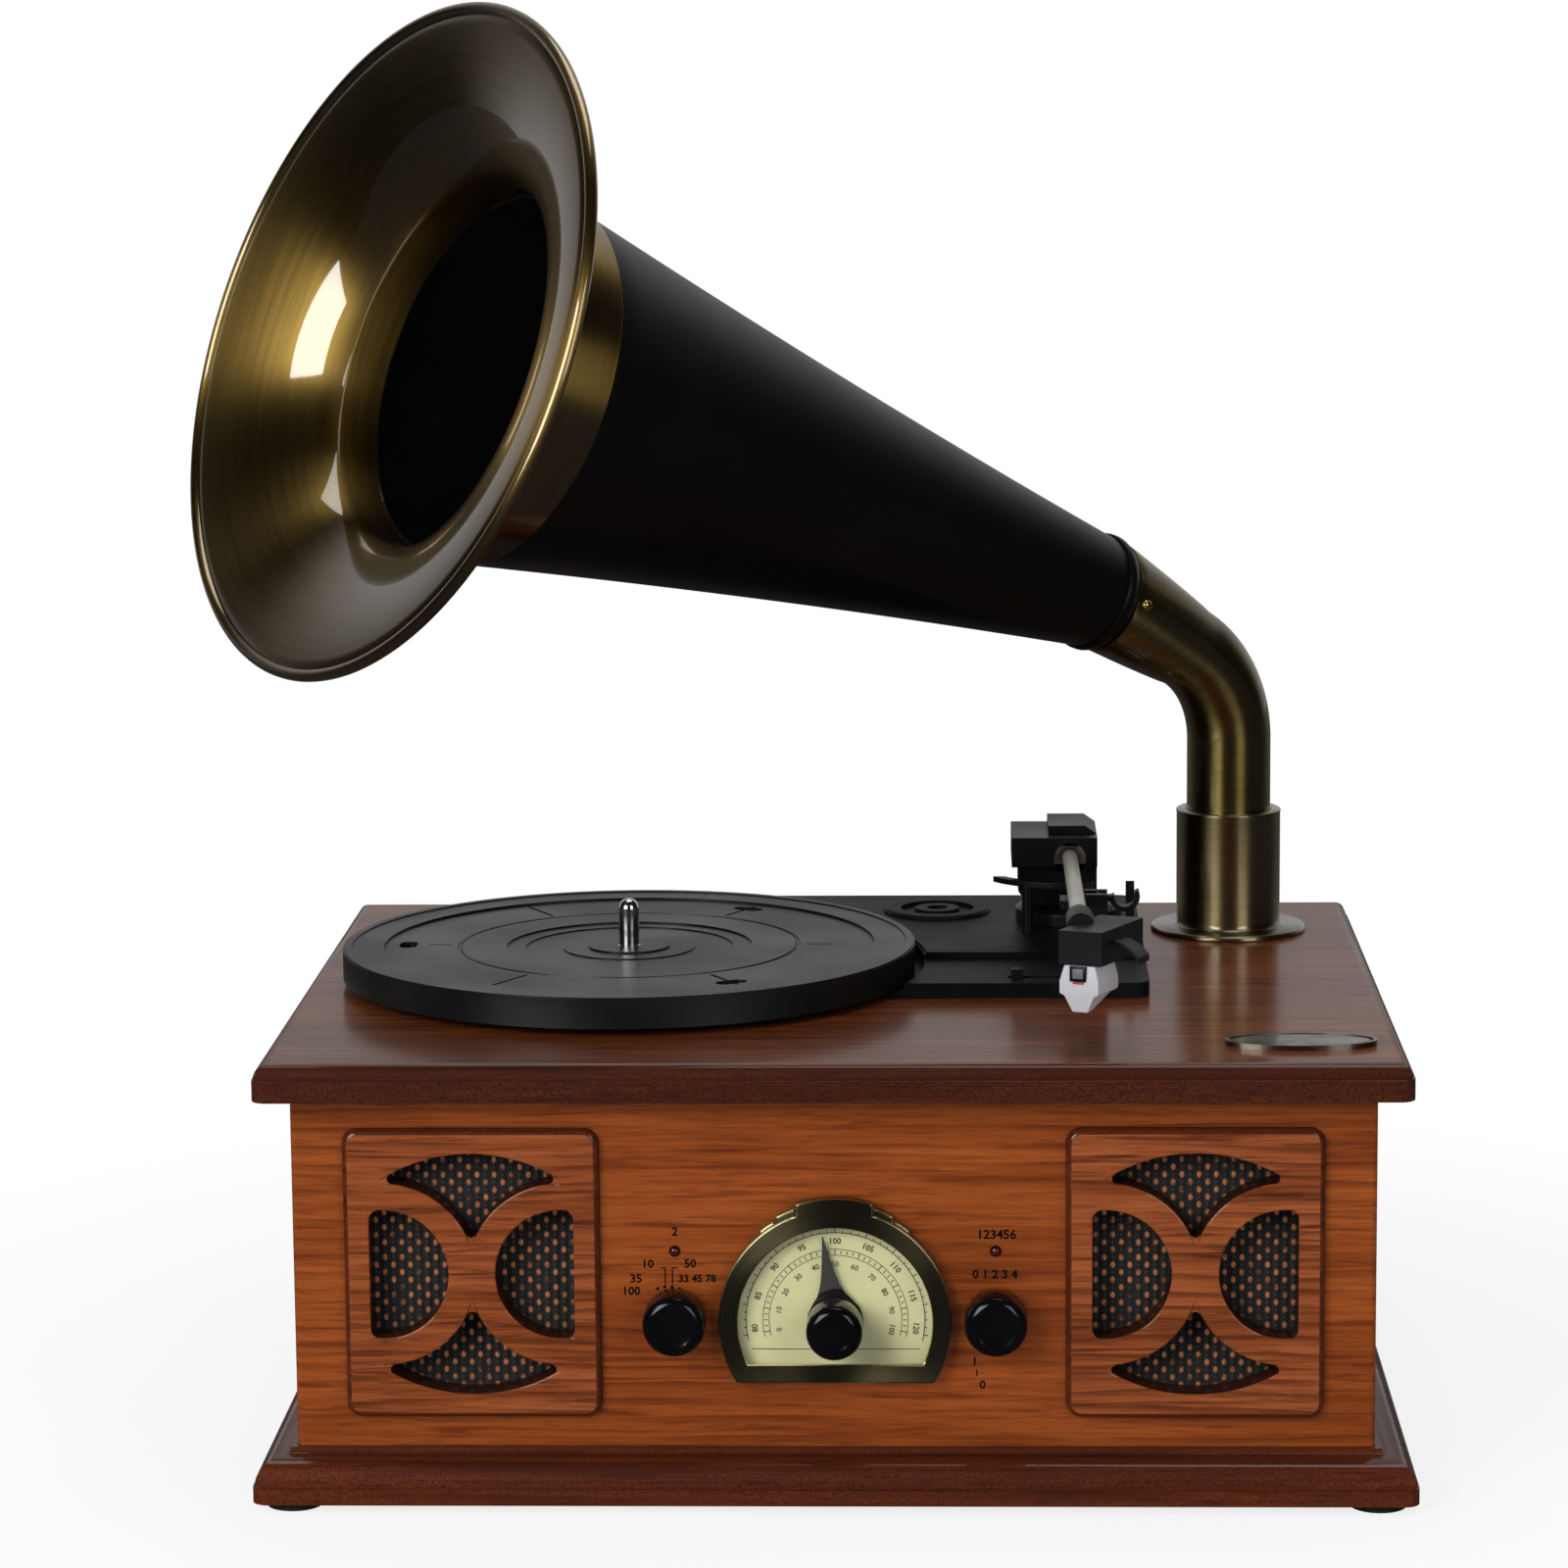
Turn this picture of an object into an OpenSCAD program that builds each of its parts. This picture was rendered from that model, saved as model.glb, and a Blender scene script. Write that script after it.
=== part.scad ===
// Retro music centre: a wooden cabinet with a radio dial and two speakers in
// front, a three-speed record deck on top and a brass-edged horn on its elbow.
// Millimetres. X runs to the right, Y to the rear, Z up. The origin lies in the
// middle of the cabinet's plan, on the surface that the rubber feet stand on.

/* [Cabinet] */
// Width of the cabinet body
cab_w = 346; // [330:1:400]
// Depth of the cabinet body
cab_d = 264; // [255:1:320]
// Height of the cabinet body between plinth and top board
body_h = 115; // [108:1:150]
// Thickness of the front and side panels
panel_t = 12; // [9:0.5:15]
// Thickness of the base panel
base_t = 6; // [4:0.5:9]
// Thickness of the back panel
back_t = 4; // [3:0.5:5]
// Width of the rebate that takes the back panel
rebate_w = 6; // [5:0.5:8]
// Radius on the upright front edges of the body
edge_r = 2; // [1:0.5:4]

/* [Plinth] */
// Height of the plinth moulding
plinth_h = 16; // [15:0.5:24]
// Overhang of the plinth past the body
plinth_over = 13.5; // [12:0.5:18]
// Height of the flat band at the foot of the plinth
plinth_band = 5.2; // [4:0.2:6]
// Radius of the quarter round on the plinth
plinth_round = 8; // [6:0.5:8]
// Radius of the small cove above the quarter round
plinth_cove = 2; // [1:0.5:2]
// Height of the thin groove above the band
groove = 0.8; // [0.5:0.1:1]
// Plan radius at the corners of plinth and top board
corner_r = 5; // [3:0.5:8]
// Width of the plinth left inside the body's outline
plinth_in = 12; // [10:0.5:14]

/* [Top board] */
// Thickness of the top board
board_h = 12; // [12:0.5:18]
// Overhang of the top board past the body
board_over = 11; // [8:0.5:14]
// Height of the flat band of the top board
board_band = 7; // [6:0.2:7.2]
// Radius of the quarter round at the top board's edge
board_round = 4.2; // [3:0.1:4.2]
// Step from the flat band in to the quarter round
board_lip = 1; // [0.5:0.1:1.5]

/* [Feet and screws] */
// Height of the rubber feet
foot_h = 3; // [2:0.5:6]
// Diameter of the rubber feet
foot_d = 18; // [14:1:20]
// Distance of the feet in from the plinth's outer edge
foot_in = 12.5; // [11:0.5:14]
// Shank diameter of the wood screws
screw_d = 3; // [2.5:0.1:3.5]
// Head diameter of the wood screws
screw_head_d = 6; // [5:0.1:7]
// Head height of the wood screws
screw_head_h = 1.6; // [1.2:0.1:1.8]
// Length of the wood screws under the head
screw_len = 9; // [6:1:10]
// Distance of the top and bottom back screws from the panel's edge
back_screw_in = 14; // [10:1:24]

/* [Speakers] */
// Height of the speaker centres above the plinth's top
speaker_z = 57.3; // [56:0.1:60]
// Width of the wooden fret
fret_w = 82; // [80:1:84]
// Height of the wooden fret
fret_h = 94.6; // [92:0.2:98]
// Full thickness of the fret
fret_t = 4; // [3:0.5:5]
// How deep the fret is let into the front panel
fret_let = 1; // [0.5:0.1:1.5]
// Corner radius of the fret
fret_r = 5; // [3:0.5:8]
// Radius of the round side openings in the fret
side_hole_r = 21; // [19:0.5:22]
// Distance of the side openings' centres from the fret's middle
side_hole_x = 28.5; // [27:0.5:30]
// Distance of the straight edge of a side opening from the middle
side_flat_x = 32.7; // [31:0.1:33.5]
// Outer radius of the fan openings above and below
fan_r = 53; // [50:0.5:54]
// How far below the middle the upper fan's centre lies
fan_drop = 13.6; // [12:0.1:15]
// Width of wood between a fan opening and a side opening
fan_rib = 8.8; // [7:0.1:10]
// Thickness of the grille cloth
cloth_t = 0.5; // [0.3:0.1:1]
// How much smaller the cloth's pocket is than the fret
cloth_in = 2; // [1:0.5:3]
// Depth of the pocket in the panel's rear that takes cloth and speaker
pocket_t = 3.5; // [2:0.5:5]
// Speaker frame radius
basket_r = 39; // [36:0.5:41]
// Inner radius of the speaker frame's flange
sound_r = 34; // [30:0.5:35]
// Depth of a speaker from its flange to the magnet
basket_depth = 26; // [20:1:30]
// Sheet thickness of the speaker frame
basket_t = 1.2; // [0.8:0.1:2]
// Radius of the magnet
magnet_r = 22; // [18:1:26]
// Thickness of the magnet
magnet_h = 14; // [8:1:18]
// Thickness of the paper cone
paper_t = 0.8; // [0.5:0.1:1.2]
// Radius of the voice coil former under the cone
coil_r = 10; // [8:0.5:12]

/* [Dial] */
// Sideways place of the dial
dial_x = 0.7; // [-2:0.1:2]
// Height of the dial's centre above the plinth's top
dial_z = 41.8; // [38:0.2:46]
// Radius of the metal bezel
bezel_r = 37.3; // [35:0.1:39]
// Distance from the centre down to the bezel's foot
bezel_foot = 19.8; // [18:0.2:22]
// How far the bezel stands out of the panel
bezel_t = 5; // [4.5:0.1:7]
// Width of the bezel's metal ring
bezel_rim = 6.3; // [5:0.1:7]
// Thickness of the bezel in front of the lens
bezel_lip = 1.4; // [1:0.1:1.6]
// Height of the bare plaque above the ring
plaque_rise = 3.4; // [2:0.2:5]
// Half width of the bare plaque
plaque_half = 12.4; // [10:0.2:14]
// Half width of the first step beside the plaque
step_half = 18.8; // [17:0.2:20]
// Half width of the second step beside the plaque
foot_half = 24; // [22:0.2:25]
// Thickness of the clear lens
lens_t = 1.2; // [0.8:0.1:1.5]
// Thickness of the printed scale plate
scale_t = 1; // [0.6:0.1:1.2]
// Length of the pointer from the knob's centre
pointer_len = 28; // [24:0.5:29]
// Lean of the pointer as it stands in the picture
pointer_lean = 8; // [-60:1:60]
// Thickness of the pointer
pointer_t = 0.8; // [0.6:0.1:1]
// Diameter of the tuning knob
tune_knob_d = 18; // [16:0.5:20]

/* [Knobs] */
// Distance of the outer knobs from the dial's centre
knob_x = 51.2; // [50:0.1:54]
// Height of the outer knobs above the plinth's top
knob_z = 42.6; // [40:0.1:46]
// Diameter of the outer knobs
knob_d = 20; // [17:0.5:21]
// Depth of every knob
knob_h = 13; // [10:0.5:15]
// Gap between a knob and what it turns in front of
knob_gap = 1; // [0.5:0.1:2]
// Diameter of the control shafts
shaft_d = 6; // [5:0.5:6]
// How deep a shaft enters its knob
shaft_in = 9; // [7:0.5:9]
// Diameter of a control's threaded bush
bush_d = 9; // [8:0.5:10]
// Diameter of the round control bodies
control_d = 22; // [18:1:26]
// Depth of the control bodies
control_h = 12; // [8:1:18]
// Height of the lamps above the knob centres
lamp_up = 21.7; // [20:0.1:24]
// Diameter of the small lamps
lamp_d = 3; // [2.5:0.1:4]

/* [Platter] */
// Sideways place of the platter
platter_x = -72.6; // [-74:0.2:-70]
// Fore and aft place of the platter
platter_y = -1.5; // [-4:0.5:4]
// Outer radius of the platter
platter_r = 98; // [96:0.5:99]
// Height of the platter's top above the board
platter_top = 13; // [12:0.2:16]
// Gap between the platter's skirt and the board
platter_gap = 2.7; // [2.5:0.1:4]
// Wall thickness of the platter
platter_t = 2.5; // [2:0.1:3]
// Inner radius of the raised outer band
band_in_r = 85; // [82:0.5:88]
// Depth of the recessed middle below the outer band
band_step = 1.2; // [0.8:0.1:1.4]
// Radius of the turned groove in the middle
ring_groove_r = 58; // [54:0.5:60]
// Outer radius of the belt ring under the platter
belt_ring_r = 71; // [68:0.5:71]
// Width of the belt's access holes
belt_hole_w = 6; // [4:0.5:7]
// Length of the belt's access holes
belt_hole_l = 11; // [8:0.5:14]
// Radius at which the belt's access holes lie
belt_hole_r = 76; // [76:0.5:78]
// Diameter of the record spindle
spindle_d = 7.1; // [6.8:0.05:7.2]
// Diameter of the platter's shaft in its hub and bearing
axle_d = 8; // [7.5:0.1:9]
// Height of the spindle's tip above the platter
spindle_up = 14.8; // [12:0.2:18]
// Running clearance of shafts in their bearings, on the radius
run_gap = 0.05; // [0.02:0.01:0.1]
// Outer diameter of the spindle bearing
bearing_d = 13; // [12:0.5:16]
// Length of the spindle bearing below the deck
bearing_len = 24; // [16:1:30]

/* [Drive] */
// Distance of the motor shaft from the platter's axis
motor_r = 82; // [81:0.5:83]
// Diameter of the drive motor
motor_d = 36; // [28:1:38]
// Height of the drive motor
motor_h = 24; // [18:1:30]
// Radius of the motor pulley
pulley_r = 5; // [4:0.5:6]
// Thickness of the flat belt
belt_t = 0.8; // [0.6:0.1:1]
// Height of the flat belt
belt_h = 3.2; // [2.5:0.1:4]
// Diameter of the motor shaft
motor_shaft_d = 2; // [1.5:0.1:3]

/* [Deck] */
// Right edge of the deck
deck_right = 104.5; // [102:0.5:107]
// Front edge of the deck
deck_front = -37.5; // [-40:0.5:-36]
// Rear edge of the deck
deck_rear = 115; // [112:0.5:120]
// Left end of the deck's part behind the platter
deck_left = -40; // [-50:1:-30]
// Gap between the platter's rim and the deck's hollow edge
deck_gap = 3.3; // [2:0.1:5]
// Height of the deck's front band above the board
deck_low = 5.2; // [4.5:0.1:6]
// Height of the deck's main surface above the board
deck_high = 7.4; // [7:0.1:9]
// Rear edge of the front band
deck_riser = 5; // [0:1:10]
// Thickness of the deck's base sheet under the platter
deck_sheet = 2; // [1.5:0.1:2.2]
// Radius of the base sheet under the platter
sheet_r = 87; // [84:0.5:90]
// Corner radius of the deck
deck_r = 6; // [3:0.5:8]

/* [Adapter] */
// Sideways place of the large-hole adapter
adapter_x = 32.6; // [30:0.5:36]
// Fore and aft place of the large-hole adapter
adapter_y = 82.6; // [80:0.5:85]
// Diameter of the adapter
adapter_d = 37.7; // [37:0.1:38.2]
// Depth of the adapter's seat in the deck
adapter_seat = 3.5; // [2:0.5:5]
// Height of the adapter
adapter_h = 5; // [4:0.5:7]

/* [Tonearm] */
// Sideways place of the tonearm's upright axis
arm_x = 79.6; // [79:0.1:81]
// Fore and aft place of the tonearm's upright axis
arm_y = 68; // [66:0.5:70]
// Height of the arm's level pivot above the board
pivot_up = 31.6; // [31:0.2:34]
// Upward slope of the arm as it lies parked
arm_rise = 1.9; // [1:0.1:2.5]
// Radius of the round foot under the turret
foot_ring_r = 19; // [17:0.5:20]
// Height of the round foot
foot_ring_h = 6.5; // [5:0.5:7]
// Diameter of the turret's stem in the foot
stem_d = 8; // [7:0.5:10]
// Left edge of the turret's cover from its axis
cover_left = 20.5; // [19:0.5:22]
// Right edge of the turret's cover from its axis
cover_right = 9.6; // [9:0.1:12]
// Front face of the turret's cover from its axis
cover_front = 18; // [16:0.5:20]
// Rear face of the turret's cover from its axis
cover_rear = 18; // [16:0.5:20]
// Height of the turret's cover
cover_h = 10.5; // [10:0.5:13]
// Wall thickness of the turret and its cover
cover_t = 2; // [1.5:0.1:2.5]
// Depth of the cover's lower edge below the level pivot
cover_sink = 2.6; // [2.2:0.1:3]
// Height of the hump on the cover
hump_h = 2.8; // [2:0.2:4]
// Length of the arm tube in front of the axis
tube_len = 174; // [170:1:178]
// Radius of the arm tube where it leaves the cover
tube_r1 = 2.6; // [2.2:0.1:2.8]
// Radius of the arm tube at the headshell
tube_r2 = 2.9; // [2.6:0.1:3.1]
// Length of the headshell's neck around the tube
shell_neck_len = 19; // [14:1:22]
// Radius of the headshell's neck
shell_neck_r = 4.6; // [4:0.1:5]
// Turn of the headshell toward the platter
shell_turn = 24; // [18:1:28]
// Reach of the cartridge's front past the end of the tube
front_reach = 20; // [16:1:22]
// Sideways place of the cartridge's front from the tube's axis
front_x = -1.2; // [-3:0.1:1]
// Length of the headshell
shell_len = 35; // [30:1:38]
// Width of the headshell
shell_w = 15; // [14:0.5:17]
// Height of the headshell
shell_h = 11; // [9:0.5:12]
// Height of the headshell's top above the tube's axis
shell_top = 1.5; // [1:0.1:4]
// Wall thickness of the headshell
shell_t = 1.5; // [1.2:0.1:2]
// Reach of the finger lift beside the headshell
finger_len = 9; // [6:0.5:10]
// Width of the finger lift
finger_w = 9; // [6:0.5:11]
// Width of the cartridge
cart_w = 13.4; // [12:0.2:13.8]
// Length of the cartridge
cart_len = 17; // [15:0.5:20]
// Height of the cartridge below the headshell
cart_h = 15; // [12:0.1:15.1]
// Diameter of the arm's level pivot pin
pivot_d = 3; // [2.5:0.1:4]
// Width of the tube's carrier block across the arm
carrier_w = 12; // [9:0.5:14]
// Length of the tube's carrier block along the arm
carrier_l = 18; // [14:0.5:20]
// Height of the tube's carrier block
carrier_h = 6.4; // [5:0.2:8]
// Width of the weight behind the pivot
weight_w = 21; // [16:0.5:24]
// Length of the weight along the arm
weight_l = 6.4; // [4:0.2:9]
// Height of the weight
weight_h = 8; // [6:0.5:9]

/* [Arm rest and levers] */
// Distance of the arm rest in front of the tonearm's axis
rest_y = 90; // [86:1:94]
// Clearance between the parked tube and the rest's saddle
rest_gap = 0.3; // [0.2:0.05:0.6]
// Width of the arm rest across the tube
rest_w = 11; // [9:0.5:13]
// Depth of the arm rest along the tube
rest_d = 11; // [9:0.5:13]
// Width of the clip along the tube
clip_w = 5; // [4:0.5:6]
// Gap between the closed clip's hook and the tube
clip_gap = 0.7; // [0.6:0.1:1]
// Sideways place of the cueing lever
cue_x = 100.4; // [99:0.1:101]
// Turn of the clip from closed to open
clip_open = 148; // [120:1:160]
// Fore and aft place of the cueing lever
cue_y = 43; // [40:0.5:46]
// Height of the cueing lever above the deck
cue_h = 18; // [14:0.5:20]
// Radius of the curved lift bar around the tonearm's axis
lift_r = 30; // [28:0.5:32]
// Width of the curved lift bar
lift_w = 3.4; // [3:0.1:4]
// Thickness of the curved lift bar
lift_t = 2; // [1.5:0.1:2.5]
// Stroke of the lift bar
lift_travel = 3.4; // [2:0.2:4]
// Sideways place of the middle of the speed slot
speed_x = 66; // [62:0.5:70]
// Fore and aft place of the speed slot
speed_y = -27; // [-30:0.5:-24]
// Length of the speed slot
speed_slot_l = 18; // [14:0.5:20]
// Width of the speed slot
speed_slot_w = 4; // [3:0.5:6]

/* [Horn socket] */
// Sideways place of the horn's upright axis
horn_x = 137.1; // [135:0.1:140]
// Fore and aft place of the horn's upright axis
horn_y = 87.5; // [84:0.5:90]
// Radius of the round flange on the board
flange_r = 27.8; // [25:0.1:30]
// Thickness of the round flange
flange_t = 2; // [1.5:0.1:3]
// Radius of the collar that holds the horn
collar_r = 18.5; // [17.5:0.1:20]
// Height of the collar above the board
collar_h = 44; // [36:0.5:50]

/* [Horn] */
// Turn of the horn from straight left toward the front
horn_turn = 36.35; // [20:0.05:60]
// Rise of the horn's axis above level
horn_rise = 19.66; // [15:0.05:30]
// Height above the board at which both axes of the elbow meet
meet_up = 104.7; // [98:0.1:115]
// Outer radius of the elbow tube
elbow_r = 14.9; // [13:0.1:15.5]
// Wall thickness of the elbow tube
elbow_t = 1.5; // [1.2:0.1:2]
// How much the tube's wall thins in the bend, on each side
bend_thin = 0.25; // [0.1:0.05:0.3]
// Radius of the elbow's bend
bend_r = 40; // [36:0.5:44]
// Rise of the elbow's upper leg above level
leg_rise = 30; // [26:0.5:34]
// Outer radius of the elbow at its mouth
mouth_r = 19.7; // [19:0.1:20.2]
// Distance of the elbow's mouth from the meeting point
mouth_s = 60; // [56:0.1:64]
// Length of the black neck ring
neck_len = 6.3; // [5:0.1:8]
// Outer radius of the neck ring
neck_r = 21; // [20.6:0.1:22]
// Outer radius of the cone at the neck ring
cone_foot_r = 20; // [19.8:0.1:20.4]
// Distance of the brass band's rear edge from the meeting point
band_s = 316; // [300:1:330]
// Outer radius of the cone at the brass band
cone_r = 59.9; // [56:0.1:64]
// How far the cone bows in from straight
cone_sag = 1.6; // [0:0.1:3]
// Wall thickness of the cone
cone_t = 1.2; // [1:0.1:2]
// Length of the cylindrical brass band
band_len = 21; // [16:0.5:26]
// Radius of the bell at its rim
rim_r = 111; // [100:0.5:116]
// Length of the bell from the band to the rim plane
bell_len = 29.2; // [24:0.2:36]
// Wall thickness of the bell
bell_t = 1.2; // [1:0.1:1.8]
// Radius of the rolled edge of the bell
roll_r = 2; // [1.6:0.1:3]

/* [Name plate] */
// Sideways place of the bare oval plate
plate_x = 149.7; // [146:0.1:152]
// Fore and aft place of the bare oval plate
plate_y = -111.5; // [-116:0.5:-108]
// Length of the oval plate
plate_l = 49; // [44:0.5:52]
// Width of the oval plate
plate_w = 21; // [17:0.5:24]
// Thickness of the oval plate
plate_t = 1.8; // [1.2:0.1:3]

/* [Inside] */
// Width of the circuit board
pcb_w = 120; // [100:1:140]
// Depth of the circuit board
pcb_d = 80; // [60:1:90]
// Thickness of the circuit board
pcb_t = 1.6; // [1.2:0.1:2]
// Height of the circuit board's spacers
spacer_h = 8; // [5:0.5:12]
// Width of the mains transformer
trafo_w = 50; // [44:1:56]
// Height of the mains transformer
trafo_h = 40; // [36:1:46]
// Depth of the mains transformer
trafo_d = 36; // [32:1:44]
// Gap between the transformer and the right side panel
trafo_gap = 11; // [6:1:20]
// Gap between the transformer and the back of the cabinet
trafo_back = 36; // [20:1:50]
// Height of the two tall capacitors on the circuit board
cap_h = 16; // [10:1:24]
// Radius of the two tall capacitors
cap_r = 6; // [4:0.5:8]
// Length of the heat sink on the circuit board
sink_l = 44; // [30:1:60]
// Height of the heat sink
sink_h = 20; // [14:1:30]
// Length of the tuner module on the circuit board
tuner_l = 24; // [18:1:30]
// Depth of the tuner module
tuner_d = 18; // [12:1:24]
// Height of the tuner module
tuner_h = 4; // [3:0.5:6]
// Width of the connector plate in the back
jack_w = 96; // [90:1:110]
// Height of the connector plate in the back
jack_h = 34; // [30:1:44]
// Thickness of the connector plate
jack_t = 2; // [1.5:0.1:3]

/* [Fits] */
// Clearance of parts that are let into one another
fit = 0.1; // [0.05:0.05:0.3]
// Clearance between parts that move past one another
air = 0.3; // [0.3:0.05:0.5]

/* [Hidden] */
$fn = 96;
over = 1;
draw = 0.05;
hull_fn = 32;
z_plinth = foot_h;
z_body = z_plinth + plinth_h;
z_board = z_body + body_h;
z_top = z_board + board_h;
y_front = -cab_d / 2;
speaker_x = cab_w / 3;
y_rear = cab_d / 2;
x_wall = cab_w / 2 - panel_t;
z_speaker = z_body + speaker_z;
z_dial = z_body + dial_z;
z_knob = z_body + knob_z;
z_lamp = z_knob + lamp_up;
hole_d = screw_d + 2 * fit;
tap_len = screw_len + 1;
window_r = bezel_r - bezel_rim;
window_foot = bezel_foot - bezel_rim;
y_panel_rear = y_front + panel_t;
y_cloth = y_panel_rear - pocket_t;
y_lens = y_front - bezel_t + bezel_lip;
y_tune_knob = y_front - bezel_t - knob_gap;
y_knob = y_front - knob_gap;
z_platter = z_top + platter_top;
z_skirt = z_top + platter_gap;
z_middle = z_platter - band_step;
z_deck_low = z_top + deck_low;
z_deck = z_top + deck_high;
z_spindle_foot = z_top - bearing_len + 2;
hub_r = 9;
z_belt = z_skirt + 2;
deck_hollow_r = platter_r + deck_gap;
cut_r = sheet_r - 9;
z_pivot = z_top + pivot_up;
front_d = tube_len + front_reach;
z_foot_ring = z_deck + foot_ring_h;
z_cover = z_pivot - cover_sink;
z_cover_top = z_cover + cover_h;
z_rest_tube = z_pivot + rest_y * tan(arm_rise);
rest_tube_r = tube_r1 + (tube_r2 - tube_r1) * rest_y / tube_len;
z_saddle = z_rest_tube - rest_d / 2 * tan(arm_rise) - rest_tube_r / cos(arm_rise) - rest_gap;
clip_in_r = rest_tube_r + clip_gap;
clip_out_r = clip_in_r + 1.7;
clip_x = 8;
clip_z = z_rest_tube - 3.6;
lift_y = arm_y - lift_r;
z_lift = z_pivot + lift_r * tan(arm_rise) - tube_r2 - 2 * air - lift_travel;
motor_x = platter_x + motor_r;
motor_y = platter_y;
z_meet = z_top + meet_up;
bend_turn = 90 - leg_rise;
bend_cut = bend_r * tan(bend_turn / 2);
mouth_x = mouth_s * cos(horn_rise);
z_bend = z_meet + mouth_s * sin(horn_rise) - mouth_x * tan(leg_rise) - bend_cut;
z_elbow_foot = z_top + flange_t + 4;
neck_end = mouth_s + neck_len;
rim_s = band_s + band_len + bell_len;
band_r = cone_r + 0.6;
z_pcb = z_body + spacer_h;

// General shapes

// Rectangle with round corners, centred
module round_rect(w, d, r) {
    square([w - 2 * r, d], center = true);
    square([w, d - 2 * r], center = true);
    for (x = [-1, 1], y = [-1, 1])
        translate([x * (w / 2 - r), y * (d / 2 - r)]) circle(r);
}

// Box given by its lowest corner and its size
module box(at, size) {
    translate(at) cube(size);
}

// Ring around Z
module ring(r, r_in, h) {
    difference() {
        cylinder(h, r = r);
        translate([0, 0, -over]) cylinder(h + 2 * over, r = r_in);
    }
}

// Rod or hole along Y, starting at a front point and running back
module rod_y(at, h, r) {
    translate(at) rotate([-90, 0, 0]) cylinder(h, r = r);
}

// Plate standing in the XZ plane, from y to y + t
module upright(y, t) {
    translate([0, y + t, 0]) rotate([90, 0, 0]) linear_extrude(t) children();
}

// Slab whose edge profile runs around all four sides with mitred corners
module moulded_slab(half_w, half_d, r, h) {
    intersection() {
        translate([0, half_d + over, 0]) rotate([90, 0, 0])
            linear_extrude(2 * (half_d + over)) children(0);
        translate([-half_w - over, 0, 0]) rotate([90, 0, 90])
            linear_extrude(2 * (half_w + over)) children(1);
        linear_extrude(h) round_rect(2 * half_w, 2 * half_d, r);
    }
}

// Wood screw pointing along +Z with its head below the seat
module wood_screw() {
    translate([0, 0, -screw_head_h]) cylinder(screw_head_h, r = screw_head_d / 2);
    translate([0, 0, -screw_head_h / 2]) cylinder(screw_len + screw_head_h / 2, r = screw_d / 2);
}

// Cabinet

// Half profile of the plinth, mirrored about the middle
module plinth_profile(half) {
    band = half + plinth_over;
    top = band - 1 - plinth_round;
    translate([-band, 0]) square([2 * band, plinth_band]);
    translate([-band + 1, 0]) square([2 * band - 2, plinth_band + groove]);
    translate([-top, 0]) square([2 * top, plinth_band + groove + plinth_round]);
    for (side = [-1, 1]) intersection() {
        translate([side * top, plinth_band + groove]) circle(plinth_round);
        translate([-band, plinth_band]) square([2 * band, plinth_h]);
    }
    difference() {
        translate([-top + 0.5, 0]) square([2 * top - 1, plinth_h]);
        for (side = [-1, 1])
            translate([side * (top - 0.5), plinth_h]) circle(plinth_cove);
    }
}

// Half profile of the top board, mirrored about the middle
module board_profile(half) {
    band = half + board_over;
    inner = band - board_lip;
    translate([-band, 0]) square([2 * band, board_band]);
    translate([-inner, 0]) square([2 * inner, board_h - board_round]);
    translate([-inner + board_round, 0]) square([2 * (inner - board_round), board_h]);
    for (side = [-1, 1])
        translate([side * (inner - board_round), board_h - board_round]) circle(board_round);
}

// Places of the feet, in the corners of the plinth
module at_feet() {
    x = cab_w / 2 + plinth_over - foot_in;
    y = cab_d / 2 + plinth_over - foot_in;
    for (sx = [-1, 1], sy = [-1, 1]) translate([sx * x, sy * y, 0]) children();
}

module plinth_moulding() {
    color("#4a2012") difference() {
        translate([0, 0, z_plinth])
            moulded_slab(cab_w / 2 + plinth_over, cab_d / 2 + plinth_over, corner_r, plinth_h) {
                plinth_profile(cab_w / 2);
                plinth_profile(cab_d / 2);
            }
        translate([0, 0, z_plinth - over]) linear_extrude(plinth_h + 2 * over)
            square([cab_w - 2 * plinth_in, cab_d - 2 * plinth_in], center = true);
        translate([0, 0, z_body - base_t]) linear_extrude(base_t + over)
            square([cab_w + 2 * fit, cab_d + 2 * fit], center = true);
        at_feet() translate([0, 0, z_plinth - over])
            cylinder(tap_len + over, r = hole_d / 2);
    }
}

module base_panel() {
    color("#8a6a48") translate([-cab_w / 2, y_front, z_body - base_t])
        cube([cab_w, cab_d, base_t]);
}

module rubber_feet() {
    color("#181818") at_feet() difference() {
        cylinder(foot_h, r = foot_d / 2);
        translate([0, 0, -over]) cylinder(foot_h + 2 * over, r = hole_d / 2);
        translate([0, 0, -over])
            cylinder(over + foot_h / 2, r = screw_head_d / 2 + fit);
    }
}

module foot_screws() {
    color("silver") at_feet() translate([0, 0, foot_h / 2]) intersection() {
        wood_screw();
        translate([0, 0, foot_h / 2 - screw_len]) cylinder(2 * screw_len, r = screw_head_d);
    }
}

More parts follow.
